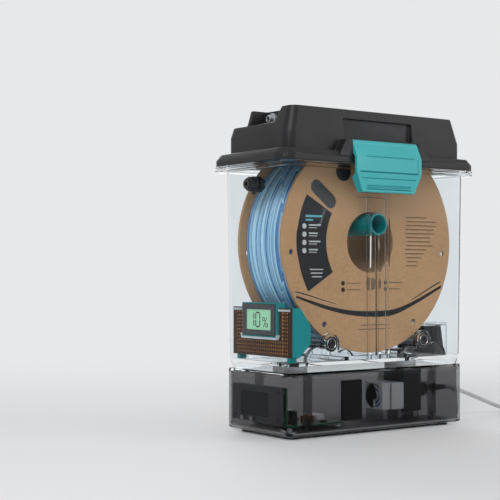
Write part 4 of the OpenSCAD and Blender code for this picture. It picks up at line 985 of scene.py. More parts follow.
class Bench:
    def __init__(self, frame: dict) -> None:
        """Reads the nodes with their slots and bodies.
        """
        self.nodes: dict[str, Object] = frame["nodes"]
        self.finishes = Finishes()
        self.slots = {row["node"]: row["material_slot"] for row in frame["record"]["subparts"]}
        self.body_of = {n: b for b, ns in frame["record"]["behaviour"]["bodies"].items() for n in ns}
        self.count = 0

    def keep(self, node: str, finish: str) -> None:
        """Keeps a CAD node and gives it a finish.

        Args:
            node: The node.
            finish: Name of the finish.
        """
        self.finishes.dress(self.nodes[node], finish)
        self.count += 1
        LOG.info("kept %s as %s", node, finish)

    def add(self, obj: Object, node: str, finish: str | None, replaces: bool = False) -> Object:
        """Adds a finished piece that goes with a CAD node.

        Args:
            obj: The piece.
            node: The node whose body it takes.
            finish: Name of the finish, or None to keep what it has.
            replaces: Whether it stands for the node.

        Returns:
            The piece.
        """
        if finish is not None:
            self.finishes.dress(obj, finish)
        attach(obj, self.body_of[node])
        if replaces:
            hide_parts(node)
        self.count += 1
        LOG.info("added %s on %s", obj.name, self.body_of[node])
        return obj

    @staticmethod
    def weigh_edges(mesh: bpy.types.Mesh, sliver: float) -> None:
        """Marks the sharp edges of a mesh for rounding, apart from those that touch a sliver.

        Args:
            mesh: The mesh.
            sliver: Faces smaller than this, in square metres, keep their corners.
        """
        beside: dict[tuple[int, int], list[bpy.types.MeshPolygon]] = {}
        kept: set[int] = set()
        for face in mesh.polygons:
            if face.area < sliver:
                kept.update(face.vertices)
            for key in face.edge_keys:
                beside.setdefault(key, []).append(face)
        weights = mesh.attributes.new("bevel_weight_edge", "FLOAT", "EDGE")
        for edge in mesh.edges:
            faces = beside.get(tuple(sorted(edge.vertices)), [])
            sharp = len(faces) == 2 and faces[0].normal.angle(faces[1].normal, 0.0) > SHARP
            weights.data[edge.index].value = float(sharp and not kept.intersection(edge.vertices))

    def rounded(
        self, node: str, name: str, finish: str, width: float, segments: int = 2,
        sliver: float = 0.3 * MM * MM, miter: str = "MITER_ARC",
    ) -> Object:
        """Replaces a node by a copy whose edges are rounded.

        Args:
            node: The node.
            name: Name of the new piece.
            finish: Name of the finish.
            width: Width of the rounding in metres.
            segments: Steps of the rounding.
            sliver: Area of a face in square metres below which its corners stay as they are.
            miter: How roundings meet round an outer corner.

        Returns:
            The new piece.
        """
        source = self.nodes[node]
        obj = bpy.data.objects.new(name, source.data.copy())
        bpy.context.scene.collection.objects.link(obj)
        edit(
            obj,
            lambda: bpy.ops.mesh.remove_doubles(threshold=CAD_SAME_PLACE),
            lambda: bpy.ops.mesh.select_all(action="SELECT"),
            lambda: bpy.ops.mesh.dissolve_limited(angle_limit=CAD_FLAT, use_dissolve_boundaries=False),
        )
        self.weigh_edges(obj.data, sliver)
        bevel = obj.modifiers.new("rounding", "BEVEL")
        bevel.width = width
        bevel.segments = segments
        bevel.limit_method = "WEIGHT"
        bevel.use_clamp_overlap = False
        bevel.miter_outer = miter
        apply_modifiers(obj)
        edit(
            obj,
            lambda: bpy.ops.mesh.remove_doubles(threshold=SAME_PLACE),
            lambda: bpy.ops.mesh.select_all(action="SELECT"),
            lambda: bpy.ops.mesh.quads_convert_to_tris(quad_method="BEAUTY", ngon_method="BEAUTY"),
        )
        bpy.ops.object.shade_smooth_by_angle(angle=CAD_SHADED)
        flat = obj.modifiers.new("flat_faces", "WEIGHTED_NORMAL")
        flat.mode = "FACE_AREA"
        flat.weight = 100  # large faces decide alone
        flat.keep_sharp = True
        apply_modifiers(obj)
        return self.add(obj, node, finish, replaces=True)


# ---------------------------------------------------------------------------
# Sub-assemblies
# ---------------------------------------------------------------------------


@dataclass(frozen=True)
class Lamp:
    """One soft square lamp: its place and aim in metres, its side, and its power in watts."""

    name: str
    place: Point
    aim: Point
    side: float
    power: float

    def hang(self) -> None:
        """Makes the lamp."""
        data = bpy.data.lights.new(self.name, "AREA")
        data.size = self.side
        data.energy = self.power
        obj = bpy.data.objects.new(self.name, data)
        bpy.context.scene.collection.objects.link(obj)
        obj.location = self.place
        obj.rotation_mode = "QUATERNION"
        obj.rotation_quaternion = (Vector(self.aim) - Vector(self.place)).to_track_quat("-Z", "Y")


@dataclass
class Studio:
    """Camera, lamps, floor and backdrop."""

    eye: Point = (-0.7343, -0.8763, 0.145)
    azimuth: float = -35.45
    pitch: float = 0.99
    lens: float = 88.1
    sensor: float = 36.0
    sight: Pair = (0.05, 60.0)
    floor_side: float = 14.0
    floor_drop: float = 0.2 * MM
    pale: Colour = (0.82, 0.825, 0.835, 1.0)
    ambient: float = 0.55  # strength of the backdrop as a light
    shown: float = 0.98  # and where it is seen
    near: float = 0.3  # the floor's shading fades from here
    far: float = 1.1  # and is gone here
    lamps: tuple[Lamp, ...] = (
        Lamp("key", (-1.1, -1.0, 1.25), (0, 0, 0.17), 0.9, 13.0),
        Lamp("fill", (1.2, -1.3, 0.75), (0, 0, 0.14), 1.1, 5.5),
        Lamp("rim", (0.5, 1.3, 1.1), (0, 0, 0.2), 0.9, 8.0),
    )

    def camera(self) -> None:
        """Makes the camera."""
        data = bpy.data.cameras.new("view")
        data.sensor_width = self.sensor
        data.lens = self.lens
        data.clip_start, data.clip_end = self.sight
        obj = bpy.data.objects.new("view", data)
        bpy.context.scene.collection.objects.link(obj)
        turn, rise = math.radians(self.azimuth), math.radians(self.pitch)
        ahead = Vector((-math.sin(turn) * math.cos(rise), math.cos(turn) * math.cos(rise), math.sin(rise)))
        obj.location = self.eye
        obj.rotation_mode = "QUATERNION"
        obj.rotation_quaternion = ahead.to_track_quat("-Z", "Y")
        bpy.context.scene.camera = obj

    def floor(self) -> None:
        """Makes the pale floor, which is no part of the object."""
        deselect_all()
        bpy.ops.mesh.primitive_plane_add(size=self.floor_side, location=(0, 0, -self.floor_drop))
        obj = bpy.context.object
        obj.name = "studio_floor"
        obj.data.materials.append(self.paper())

    def paper(self) -> bpy.types.Material:
        """Makes the floor's material, which runs into the backdrop's colour away from the object."""
        paint = Paint("floor_paper", EffectLibrary())
        tree = paint.tree
        paint.give("Base Color", self.pale)
        paint.give("Roughness", 0.75)
        paint.give("Specular IOR Level", 0.2)
        far = tree.nodes.new("ShaderNodeEmission")
        feed(tree, far.inputs["Color"], self.pale)
        feed(tree, far.inputs["Strength"], self.shown)
        place = tree.nodes.new("ShaderNodeTexCoord")
        distance = tree.nodes.new("ShaderNodeVectorMath")
        distance.operation = "LENGTH"
        feed(tree, distance.inputs[0], place.outputs["Object"])
        away = spread(tree, distance.outputs["Value"], self.near, self.far, smooth=True)
        share = calculate(tree, "MULTIPLY", away, self.seen(tree))
        mixed = mix_shaders(tree, share, paint.shader.outputs["BSDF"], far.outputs["Emission"])
        feed(tree, paint.out.inputs["Surface"], mixed)
        return paint.material

    @staticmethod
    def seen(tree: Tree) -> Socket:
        """Tells whether a surface is seen directly, in a gloss or through clear plastic.

        Args:
            tree: The node tree.

        Returns:
            The socket with 1 for such a view, else 0.
        """
        rays = tree.nodes.new("ShaderNodeLightPath").outputs
        through = calculate(tree, "MAXIMUM", rays["Is Camera Ray"], rays["Is Transmission Ray"])
        return calculate(tree, "MAXIMUM", through, rays["Is Glossy Ray"])

    def world(self) -> None:
        """Sets an even pale world, lighter where it is seen than where it only lights."""
        world = bpy.data.worlds.new("studio_world")
        bpy.context.scene.world = world
        world.use_nodes = True
        tree = world.node_tree
        tree.nodes.clear()
        skies = []
        for strength in (self.ambient, self.shown):
            sky = tree.nodes.new("ShaderNodeBackground")
            feed(tree, sky.inputs["Color"], self.pale)
            feed(tree, sky.inputs["Strength"], strength)
            skies.append(sky.outputs["Background"])
        out = tree.nodes.new("ShaderNodeOutputWorld")
        feed(tree, out.inputs["Surface"], mix_shaders(tree, self.seen(tree), *skies))

    def build(self) -> None:
        """Sets up the whole studio."""
        bpy.context.scene.view_settings.view_transform = "Standard"
        self.camera()
        self.world()
        for lamp in self.lamps:
            lamp.hang()
        self.floor()


@dataclass
class Lid:
    """The charcoal lid with its seal and outlet fitting."""

    rounding: float = 0.6 * MM

    def build(self, bench: Bench) -> None:
        """Makes and dresses the lid.

        Args:
            bench: The bench.
        """
        bench.rounded("lid_shell", "lid_cover", "charcoal_lid", self.rounding, 3)
        bench.keep("lid_gasket", "seal_grey")
        bench.rounded("lid_outlet", "lid_outlet_fitting", "silver_moulding", 0.3 * MM)


@dataclass
class Latches:
    """Both teal latches on their steel pins."""

    rounding: float = 0.25 * MM
    groove_least: float = 0.12 * MM
    groove_reach: float = 1.7 * MM
    groove_wall: float = 60 * MM * MM  # largest area of a groove's wall
    level: float = 0.9995  # least share of Y in the normal of a groove's floor
    upright: float = 0.2  # largest share of Y in that of its walls
    foot: float = 1.0 * MM
    border: float = 3.0 * MM

    def paint_groove_shade(self, bench: Bench, side: str, latch: Object) -> None:
        """Gives the floors and walls of the grooves in the outer face a darker teal, a painted shade in the
        grooves.

        Args:
            bench: The bench.
            side: Which latch, front or rear.
            latch: The dressed latch.
        """
        latch.data.materials.append(bench.finishes.get("groove_painted_shade"))
        low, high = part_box(f"latch_{side}")
        for face in latch.data.polygons:
            place, out = face.center, abs(face.normal.y)
            depth = place.y - low.y if side == "front" else high.y - place.y
            floor = out > self.level and depth > self.groove_least
            wall = out < self.upright and face.area < self.groove_wall
            inside = low.z + self.foot < place.z < high.z - self.border
            inside = inside and abs(place.x) < high.x - self.border and depth < self.groove_reach
            if inside and (floor or wall):
                face.material_index = 1

    def build(self, bench: Bench) -> None:
        """Makes and dresses the latches."""
        for side in ("front", "rear"):
            latch = bench.rounded(f"latch_{side}", f"latch_plate_{side}", "latch_teal", self.rounding)
            self.paint_groove_shade(bench, side, latch)
            bench.keep(f"latch_pin_{side}", "screw_steel")


@dataclass
class ClearBox:
    """The clear box with its end port, valves and hub tube."""

    rounding: float = 0.45 * MM
    rib_reach: float = 12.6 * MM
    rib_tips: Pair = (-44.5 * MM, -41.0 * MM)
    rib_foot: float = 8.0 * MM
    inward: float = 0.8  # least share of Y in the normal of a rib's edge

    def paint_rib_shade(self, bench: Bench, shell: Object) -> None:
        """Gives the inner edges of the front guide ribs a darker clear finish, a painted shade along them.

        Args:
            bench: The bench.
            shell: The dressed box.
        """
        shell.data.materials.append(bench.finishes.get("rib_painted_shade"))
        low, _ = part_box("box_shell")
        for face in shell.data.polygons:
            place = face.center
            tip = self.rib_tips[0] < place.y < self.rib_tips[1] and face.normal.y > self.inward
            if tip and abs(place.x) < self.rib_reach and place.z > low.z + self.rib_foot:
                face.material_index = 1

    def build(self, bench: Bench) -> None:
        """Makes and dresses the box and what is fixed to its walls.

        Args:
            bench: The bench.
        """
        shell = bench.rounded("box_shell", "clear_box_body", "clear_box", self.rounding)
        self.paint_rib_shade(bench, shell)
        bench.rounded("end_port_body", "end_port_knob", "black_moulding", 0.2 * MM)
        bench.rounded("end_port_nut", "end_port_lock_nut", "black_moulding", 0.25 * MM)
        bench.rounded("hub_tube", "hub_drying_tube", "tube_teal", 0.4 * MM)
        for side in ("left", "right"):
            bench.rounded(f"valve_{side}", f"air_valve_{side}", "black_moulding", 0.3 * MM)


@dataclass
class RollerCradle:
    """The clear cradle, its bearings and the roller bars."""

    outer: float = 6.5 * MM
    inner: float = 2.55 * MM
    width: float = 4.0 * MM
    chamfer: float = 0.25 * MM
    tyre: float = 1.5 * MM
    race: float = 0.6 * MM
    lap: float = 0.05 * MM
    shield_sunk: float = 0.1 * MM
    # thin dark discs on the roller ends: painted shade in the bearings' bores
    shade_disc_gap: float = 0.15 * MM
    shade_disc_thick: float = 0.15 * MM

    def bearing(self, bench: Bench, name: str, low: Vector, high: Vector) -> Object:
        """Models one bearing with a black tyre, a steel race and a black shield.

        Args:
            bench: The bench.
            name: Name of the bearing.
            low: Lowest corner of its room.
            high: Highest corner of its room.

        Returns:
            The joined bearing.
        """
        centre = (low + high) / 2
        half = (high.y - low.y) / 2
        step = self.chamfer
        seat = self.outer - self.tyre
        shield = seat - self.race
        rings = (
            (self.outer, seat, half, "bearing_black"),
            (seat + self.lap, shield, half, "roller_steel"),
            (shield + self.lap, self.inner, half - self.shield_sunk, "bearing_black"),
        )
        parts = []
        for i, (big, small, reach, finish) in enumerate(rings):
            profile = (
                (small + step, -reach), (big - step, -reach), (big, -reach + step), (big, reach - step),
                (big - step, reach), (small + step, reach), (small, reach - step), (small, -reach + step),
            )
            part = turned(f"{name}_ring_{i}", profile, tuple(centre), ALONG_Y)
            bench.finishes.dress(part, finish)
            parts.append(part)
        return joined(name, parts)

    def shade_discs(self, side: str) -> Object:
        """Models the thin dark discs on the two ends of a roller, a painted shade in the bores of the
        bearings.

        Args:
            side: Which roller, left or right.

        Returns:
            The joined discs.
        """
        low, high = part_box(f"roller_{side}")
        centre = (low + high) / 2
        parts = []
        for i, y in enumerate((low.y - self.shade_disc_thick / 2, high.y + self.shade_disc_thick / 2)):
            deselect_all()
            bpy.ops.mesh.primitive_cylinder_add(
                vertices=40, radius=self.inner - self.shade_disc_gap, depth=self.shade_disc_thick,
                location=(centre.x, y, centre.z), rotation=(math.pi / 2, 0, 0),
            )
            shade_disc = bpy.context.object
            shade_disc.name = f"roller_cap_{side}_{i}"
            settle(shade_disc)
            bpy.ops.object.shade_smooth_by_angle(angle=SHARP)
            parts.append(shade_disc)
        return joined(f"roller_caps_{side}", parts)

    def build(self, bench: Bench) -> None:
        """Makes and dresses the cradle.

        Args:
            bench: The bench.
        """
        bench.rounded("roller_cradle", "roller_cradle_frame", "clear_insert", 0.4 * MM)
        low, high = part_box("roller_bearings")
        parts = []
        for x in (low.x, high.x - 2 * self.outer):
            for y in (low.y, high.y - self.width):
                a = Vector((x, y, low.z))
                b = Vector((x + 2 * self.outer, y + self.width, high.z))
                parts.append(self.bearing(bench, f"bearing_{len(parts)}", a, b))
        bench.add(joined("bearing_set", parts), "roller_bearings", None, replaces=True)
        for side in ("left", "right"):
            bench.keep(f"roller_{side}", "roller_steel")
            # dark discs on the roller ends: painted shade in the bearings' bores
            bench.add(self.shade_discs(side), f"roller_{side}", "bearing_black")


@dataclass
class Desiccant:
    """The teal desiccant case with grille, beads and clear clips."""

    seed: int = 7
    pitch: float = 3.2 * MM
    bead: float = 1.45 * MM
    border: float = 1.6 * MM
    gap: float = 3.2 * MM
    sunk: float = 0.5 * MM
    loose: float = 0.15 * MM

    def beads(self) -> Object:
        """Models the layer of beads that shows through the grille, one bead in each of its holes.

        Returns:
            The joined beads.
        """
        low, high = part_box("desiccant_grille")
        tower_low, tower_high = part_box("hygrometer_case")
        rng = random.Random(self.seed)
        deselect_all()
        bpy.ops.mesh.primitive_ico_sphere_add(subdivisions=2, radius=self.bead)
        first = bpy.context.object
        bpy.ops.object.shade_smooth()
        parts = []
        columns = int((high.y - self.border) / self.pitch)
        rows = int((high.z - low.z - 2 * self.border) / self.pitch)
        for i in range(-columns, columns):
            for j in range(rows):
                y = (i + 0.5) * self.pitch
                z = low.z + self.border + (j + 0.5) * self.pitch
                if tower_low.y - self.gap < y < tower_high.y + self.gap and z > tower_low.z - self.gap:
                    continue
                parts.append(copied(first, (high.x + self.sunk + rng.random() * self.loose, y, z)))
        bpy.data.objects.remove(first)
        return joined("bead_layer", parts)

    def build(self, bench: Bench) -> None:
        """Makes and dresses the unit.

        Args:
            bench: The bench.
        """
        bench.rounded("desiccant_case", "desiccant_housing", "case_teal", 0.6 * MM, miter="MITER_SHARP")
        bench.keep("desiccant_grille", "grille_brown")
        bench.add(self.beads(), "desiccant_beads", "bead_orange")
        bench.keep("desiccant_beads", "bead_orange")
        # the clips' pale finish is a painted glint
        bench.rounded("display_cradle", "display_cradle_clips", "clear_clip_painted_glint", 0.3 * MM)


class Segment(Enum):
    """The seven bars of a display digit: ends as shares of its width and height."""

    TOP = ((0, 2), (1, 2))
    MIDDLE = ((0, 1), (1, 1))
    BOTTOM = ((0, 0), (1, 0))
    UPPER_LEFT = ((0, 1), (0, 2))
    LOWER_LEFT = ((0, 0), (0, 1))
    UPPER_RIGHT = ((1, 1), (1, 2))
    LOWER_RIGHT = ((1, 0), (1, 1))


@dataclass
class Hygrometer:
    """The display module: case, panel, digits, board and cells."""

    digit_h: float = 12.4 * MM
    digit_w: float = 6.0 * MM
    bar: float = 1.3 * MM
    gap: float = 0.25 * MM
    proud: float = 0.12 * MM
    margin: float = 1.5 * MM
    one_in: float = 4.6 * MM
    zero_in: float = 13.6 * MM
    percent_in: float = 23.4 * MM
    percent_drop: float = 0.4 * MM
    percent_ring: float = 1.9 * MM
    percent_line: float = 0.75 * MM
    percent_size: Pair = (8.3 * MM, 9.1 * MM)
    percent_stroke: tuple[Pair, Pair] = ((1.4 * MM, 0.0), (7.0 * MM, 9.2 * MM))

    def _bar(self, name: str, a: Pair, b: Pair, x: float, width: float) -> Object:
        """Models one bar of a digit as a flat six-sided plate.

        Args:
            name: Name of the bar.
            a: One end, as y and z.
            b: The other end, as y and z.
            x: Place of the panel's face.
            width: Width of the bar.

        Returns:
            The bar.
        """
        start, end = Vector(a), Vector(b)
        way = (end - start).normalized()
        side = Vector((-way.y, way.x)) * width / 2
        start, end = start + way * self.gap, end - way * self.gap
        tip = way * width / 2
        ring = [start, start + tip + side, end - tip + side, end, end - tip - side, start + tip - side]
        return plate(name, [(x - self.proud, p.x, p.y) for p in ring], (-1, 0, 0), 2 * self.proud)

    def digit(self, name: str, bars: Iterable[Segment], left: float, base: float, x: float) -> list[Object]:
        """Models one digit.

        Args:
            name: Name of the digit.
            bars: The bars that show.
            left: Y of its left side.
            base: Z of its base.
            x: Place of the panel's face.

        Returns:
            The bars.
        """
        made = []
        for bar in bars:
            ends = [(left - u * self.digit_w, base + v * self.digit_h / 2) for u, v in bar.value]
            made.append(self._bar(f"{name}_{bar.name.lower()}", ends[0], ends[1], x, self.bar))
        return made

    def percent(self, left: float, base: float, x: float) -> list[Object]:
        """Models a percent sign from two rings and a bar.

        Args:
            left: Y of its left side.
            base: Z of its base.
            x: Place of the panel's face.

        Returns:
            The parts.
        """
        ring, line = self.percent_ring, self.percent_line
        wide, tall = self.percent_size
        profile = (
            (ring - line, -self.proud), (ring, -self.proud), (ring, self.proud), (ring - line, self.proud),
        )
        parts = []
        for i, (dy, dz) in enumerate(((ring, tall - ring), (wide - ring, ring))):
            centre = (x, left - dy, base + dz)
            parts.append(turned(f"percent_ring_{i}", profile, centre, Vector((-1, 0, 0)), steps=24))
        foot, head = ((left - dy, base + dz) for dy, dz in self.percent_stroke)
        parts.append(self._bar("percent_stroke", foot, head, x, line))
        return parts

    def build(self, bench: Bench) -> None:
        """Makes and dresses the module.

        Args:
            bench: The bench.
        """
        bench.rounded("hygrometer_case", "hygrometer_bezel", "hygrometer_grey", 0.5 * MM)
        # the panel's finish paints light onto it
        bench.keep("hygrometer_panel", "lcd_green_painted_light")
        bench.keep("hygrometer_board", "board_green")
        bench.keep("button_cells", "screw_steel")
        low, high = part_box("hygrometer_panel")
        left = high.y - self.margin
        base = (low.z + high.z) / 2 - self.digit_h / 2
        one = (Segment.UPPER_RIGHT, Segment.LOWER_RIGHT)
        zero = [bar for bar in Segment if bar is not Segment.MIDDLE]
        ink = self.digit("one", one, left - self.one_in, base, low.x)
        ink += self.digit("zero", zero, left - self.zero_in, base, low.x)
        ink += self.percent(left - self.percent_in, base - self.percent_drop, low.x)
        bench.add(joined("humidity_digits", ink), "hygrometer_panel", "lcd_ink")


@dataclass
class Spool:
    """The card spool with its prints and wound filament. Prints are placed in millimetres over the feet."""

    seed: int = 11
    wound: float = 93.0 * MM
    core: float = 45.5 * MM
    strand: float = 0.875 * MM
    turns: int = 33
    crossings: int = 14
    crossing_edge: float = 0.08  # share of the width left free at each side
    crossing_tilt: Pair = (0.9, 2.6)  # degrees
    crossing_rise: Pair = (0.7, 1.2)  # strands
    wobble: float = 0.25  # degrees
    # pale strands carry the painted highlight, deep ones the painted shade
    highlight_bias: float = 0.85  # below 1, more strands are pale than deep
    # the core under the strands takes the deep colour: painted shade in the gaps between them
    core_shade_tone: float = 0.05
    core_depth: float = 2.2  # strands under the outermost
    core_gap: float = 0.2 * MM
    ink: float = 0.12 * MM
    over: float = 0.06 * MM
    arc_step: float = 3.0  # degrees
    disc_sides: int = 28
    slot_angle: float = 142.0  # degrees round from +X
    slot_in: float = 58.5 * MM
    slot_out: float = 78.5 * MM
    slot_w: float = 13.0 * MM
    film_gap: float = 0.2 * MM
    film_depth: float = 1.3 * MM
    film_thick: float = 0.4 * MM
    threads: int = 17
    thread_w: float = 0.4 * MM
    thread_thick: float = 0.2 * MM
    thread_proud: float = 0.15 * MM
    thread_share: float = 0.97
    centre_z: float = 0.0
    face_y: float = 0.0

    def lay(self, number: int, rng: random.Random) -> tuple[float, float, float]:
        """Says how one turn lies: beside the one before, or crossing over the others.

        Args:
            number: Number of the turn. The last ones cross.
            rng: Source of the small differences.

        Returns:
            Its place as a share of the winding's width, its tilt in radians, and its size as a share.
        """
        if number < self.turns:
            return (number + 0.5) / self.turns, math.radians(rng.uniform(-self.wobble, self.wobble)), 1.0
        share = self.crossing_edge + (1 - 2 * self.crossing_edge) * rng.random()
        tilt = math.radians(rng.uniform(*self.crossing_tilt) * rng.choice((-1, 1)))
        low, high = self.crossing_rise
        return share, tilt, 1.0 + (low + (high - low) * rng.random()) * self.strand / self.wound

    @staticmethod
    def tone(obj: Object, value: float) -> None:
        """Gives all corners of a mesh one tone between the deep colour, a painted shade, and the pale one, a
        painted highlight.
        """
        tone = obj.data.attributes.new("tone", "FLOAT", "POINT")
        tone.data.foreach_set("value", [value] * len(obj.data.vertices))

    def strands(self) -> Object:
        """Models the outer turns of the filament, ring by ring.

        Returns:
            The joined strands, with a tone attribute per strand that mixes painted shade and painted
            highlight.
        """
        rng = random.Random(self.seed)
        low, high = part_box("filament_winding")
        deselect_all()
        bpy.ops.mesh.primitive_torus_add(
            major_radius=self.wound - self.strand, minor_radius=self.strand,
            major_segments=112, minor_segments=8,
        )
        first = bpy.context.object
        bpy.ops.object.shade_smooth()
        centre = Vector(((low.x + high.x) / 2, 0, (low.z + high.z) / 2))
        room = high.y - low.y - 2 * self.strand
        parts = []
        for number in range(self.turns + self.crossings):
            share, tilt, size = self.lay(number, rng)
            reach = math.sin(abs(tilt)) * self.wound
            y = low.y + self.strand + share * room
            y = min(max(y, low.y + self.strand + reach), high.y - self.strand - reach)
            turn = Matrix.Rotation(math.radians(rng.uniform(0, 360)), 4, "Y")
            place = Matrix.Translation((centre.x, y, centre.z)) @ turn @ Matrix.Rotation(tilt, 4, "X")
            twin = copied(first)
            twin.data.transform(place @ Matrix.Rotation(math.radians(90), 4, "X") @ Matrix.Scale(size, 4))
            # each strand's tone is its share of painted highlight against painted shade
            self.tone(twin, rng.random() ** self.highlight_bias)
            parts.append(twin)
        bpy.data.objects.remove(first)
        outer = self.wound - self.core_depth * self.strand
        front, back = low.y + self.core_gap, high.y - self.core_gap
        profile = ((self.core, front), (outer, front), (outer, back), (self.core, back))
        core = turned("strand_core", profile, tuple(centre), ALONG_Y, steps=96)
        self.tone(core, self.core_shade_tone)
        return joined("wound_filament", [core, *parts])

    def printed(self, name: str, points: Sequence[Pair], proud: float = 0.0) -> Object:
        """Models one flat mark on the face of the front flange.

        Args:
            name: Name of the print.
            points: Pairs of x and z in metres, in order round the mark.
            proud: How far it lies over other prints.

        Returns:
            The print.
        """
        y = self.face_y - self.ink - proud
        return plate(name, [(x, y, z) for x, z in points], (0, -1, 0), self.ink)

    def sector(
        self, name: str, inner: float, outer: float, start: float, end: float, proud: float = 0.0
    ) -> Object:
        """Models a printed sector of a ring.

        Args:
            name: Name of the print.
            inner: Inner radius in millimetres.
            outer: Outer radius in millimetres.
            start: First angle in degrees.
            end: Last angle in degrees.
            proud: How far it lies over other prints.

        Returns:
            The print.
        """
        steps = max(2, int(abs(end - start) / self.arc_step))
        angles = [math.radians(start + (end - start) * i / steps) for i in range(steps + 1)]
        rows = ((outer * MM, angles), (inner * MM, reversed(angles)))
        ring = [(r * math.cos(a), self.centre_z + r * math.sin(a)) for r, arc in rows for a in arc]
        return self.printed(name, ring, proud)

    def ribbon(self, name: str, points: Sequence[Point]) -> Object:
        """Models a printed ribbon of changing width, as a smooth curve through its points.

        Args:
            name: Name of the print.
            points: Rows of x, z and width in millimetres, z over the feet.

        Returns:
            The print.
        """
        dense: list[Vector] = []
        rows = [Vector(p) for p in points]
        for i in range(len(rows) - 1):
            a, b, c, d = rows[max(i - 1, 0)], rows[i], rows[i + 1], rows[min(i + 2, len(rows) - 1)]
            for t in (0, 0.25, 0.5, 0.75):
                bend = (2 * a - 5 * b + 4 * c - d) * t * t + (3 * b - a - 3 * c + d) * t**3
                dense.append(0.5 * (2 * b + (c - a) * t + bend))
        dense.append(rows[-1])
        top = [(p.x * MM, (p.y + p.z / 2) * MM) for p in dense]
        bottom = [(p.x * MM, (p.y - p.z / 2) * MM) for p in reversed(dense)]
        return self.printed(name, top + bottom)

    def rule(self, name: str, x: float, z: float, length: float, height: float, proud: float = 0.0) -> Object:
        """Models a short printed line.

        Args:
            name: Name of the print.
            x: Left end in millimetres.
            z: Middle in millimetres.
            length: Length in millimetres.
            height: Height in millimetres.
            proud: How far it lies over other prints.

        Returns:
            The print.
        """
        x0, x1, z0, z1 = x * MM, (x + length) * MM, (z - height / 2) * MM, (z + height / 2) * MM
        return self.printed(name, [(x0, z0), (x1, z0), (x1, z1), (x0, z1)], proud)

    def disc(self, name: str, x: float, z: float, radius: float, proud: float = 0.0) -> Object:
        """Models a printed disc.

        Args:
            name: Name of the print.
            x: Middle in millimetres.
            z: Middle in millimetres.
            radius: Radius in millimetres.
            proud: How far it lies over other prints.

        Returns:
            The print.
        """
        ring = [
            ((x + radius * math.cos(a)) * MM, (z + radius * math.sin(a)) * MM)
            for a in (math.tau * i / self.disc_sides for i in range(self.disc_sides))
        ]
        return self.printed(name, ring, proud)

    def window(self, bench: Bench) -> None:
        """Makes the dark film with its threads behind the slot of the front flange.

        Args:
            bench: The bench.
        """
        turn = math.radians(self.slot_angle)
        along, across = Vector((math.cos(turn), math.sin(turn))), Vector((-math.sin(turn), math.cos(turn)))
        middle = Vector((0.0, self.centre_z)) + along * (self.slot_in + self.slot_out) / 2
        half, reach = self.slot_w / 2 - self.film_gap, (self.slot_out - self.slot_in) / 2
        ring = []
        for end in (1, -1):
            for bow in (math.radians(angle) for angle in range(-90, 91, 15)):
                out, aside = reach + half * math.cos(bow), half * math.sin(bow)
                ring.append(middle + end * (along * out + across * aside))
        y = self.face_y + self.film_depth
        film = plate("slot_film", [(p.x, y, p.y) for p in ring], (0, -1, 0), self.film_thick)
        bench.add(film, "spool_flange_front", "window_film")
        y -= self.thread_proud
        line = along * self.thread_w / 2
        threads = []
        for i in range(self.threads):
            place = (i - (self.threads - 1) / 2) * 2 * (reach + half) / self.threads
            past = max(0.0, abs(place) - reach)
            chord = math.sqrt(max(half * half - past * past, 0.0)) * self.thread_share
            a, b = middle + along * place - across * chord, middle + along * place + across * chord
            corners = [(p.x, y, p.y) for p in (a - line, b - line, b + line, a + line)]
            threads.append(plate(f"thread_{i}", corners, (0, -1, 0), self.thread_thick))
        bench.add(joined("slot_threads", threads), "spool_flange_front", "window_thread")

    def dark_prints(self) -> Object:
        """Models the black field, the bands across the disc and the round marks.

        Returns:
            The joined prints.
        """
        dark = [self.sector("label_field", 51.5, 84.0, 150.5, 211.5)]
        bands = {
            "low_band": (
                (-84.2, 122.6, 1.8), (-68.4, 117.8, 2.8), (-50.1, 112.6, 3.4), (-26.6, 108.1, 4.2),
                (-2.6, 106.2, 5.2), (22.0, 106.6, 5.4), (37.2, 109.6, 4.6), (57.7, 117.0, 3.6),
                (73.4, 123.7, 3.0), (88.5, 130.4, 2.6),
            ),
            "high_band": ((-85.6, 127.2, 1.0), (-72.9, 124.3, 1.0), (-59.3, 120.6, 0.8), (-40.8, 115.9, 0.5)),
            "end_band": ((50.0, 118.3, 0.5), (57.7, 121.4, 0.9), (73.4, 128.7, 1.2), (87.5, 134.8, 1.2)),
        }
        dark += [self.ribbon(name, points) for name, points in bands.items()]
        dark.append(self.disc("upper_mark", -31.5, 234.2, 8.6))
        for i, (x, z) in enumerate(((-32.2, 134.2), (-32.2, 128.3), (18.6, 134.6), (18.6, 128.7))):
            dark.append(self.disc(f"dot_{i}", x, z, 2.1))
        return joined("spool_print_dark", dark)

    def brown_prints(self) -> Object:
        """Models the lines of small print, as plain bars.

        Returns:
            The joined prints.
        """
        top, pitch, left, ragged, sway = 195.0, 3.75, 43.5, 1.2, 1.3
        brown = []
        for i, length in enumerate((26, 38, 38, 37, 38, 31, 30, 34, 27, 24, 19, 14, 14)):
            start = left + ragged * math.sin(i * sway)
            brown.append(self.rule(f"text_rule_{i}", start, top - i * pitch, length, 1.0))
        for i, (x, z, length) in enumerate((
            (-28.5, 134.2, 17), (-28.5, 128.3, 17), (22.5, 134.6, 17), (22.5, 128.7, 13),
            (-11.0, 96.2, 29), (-14.6, 92.4, 33), (-16.9, 212.0, 36), (-10.0, 216.5, 20),
        )):
            brown.append(self.rule(f"fine_rule_{i}", x, z, length, 0.9))
        return joined("spool_print_brown", brown)

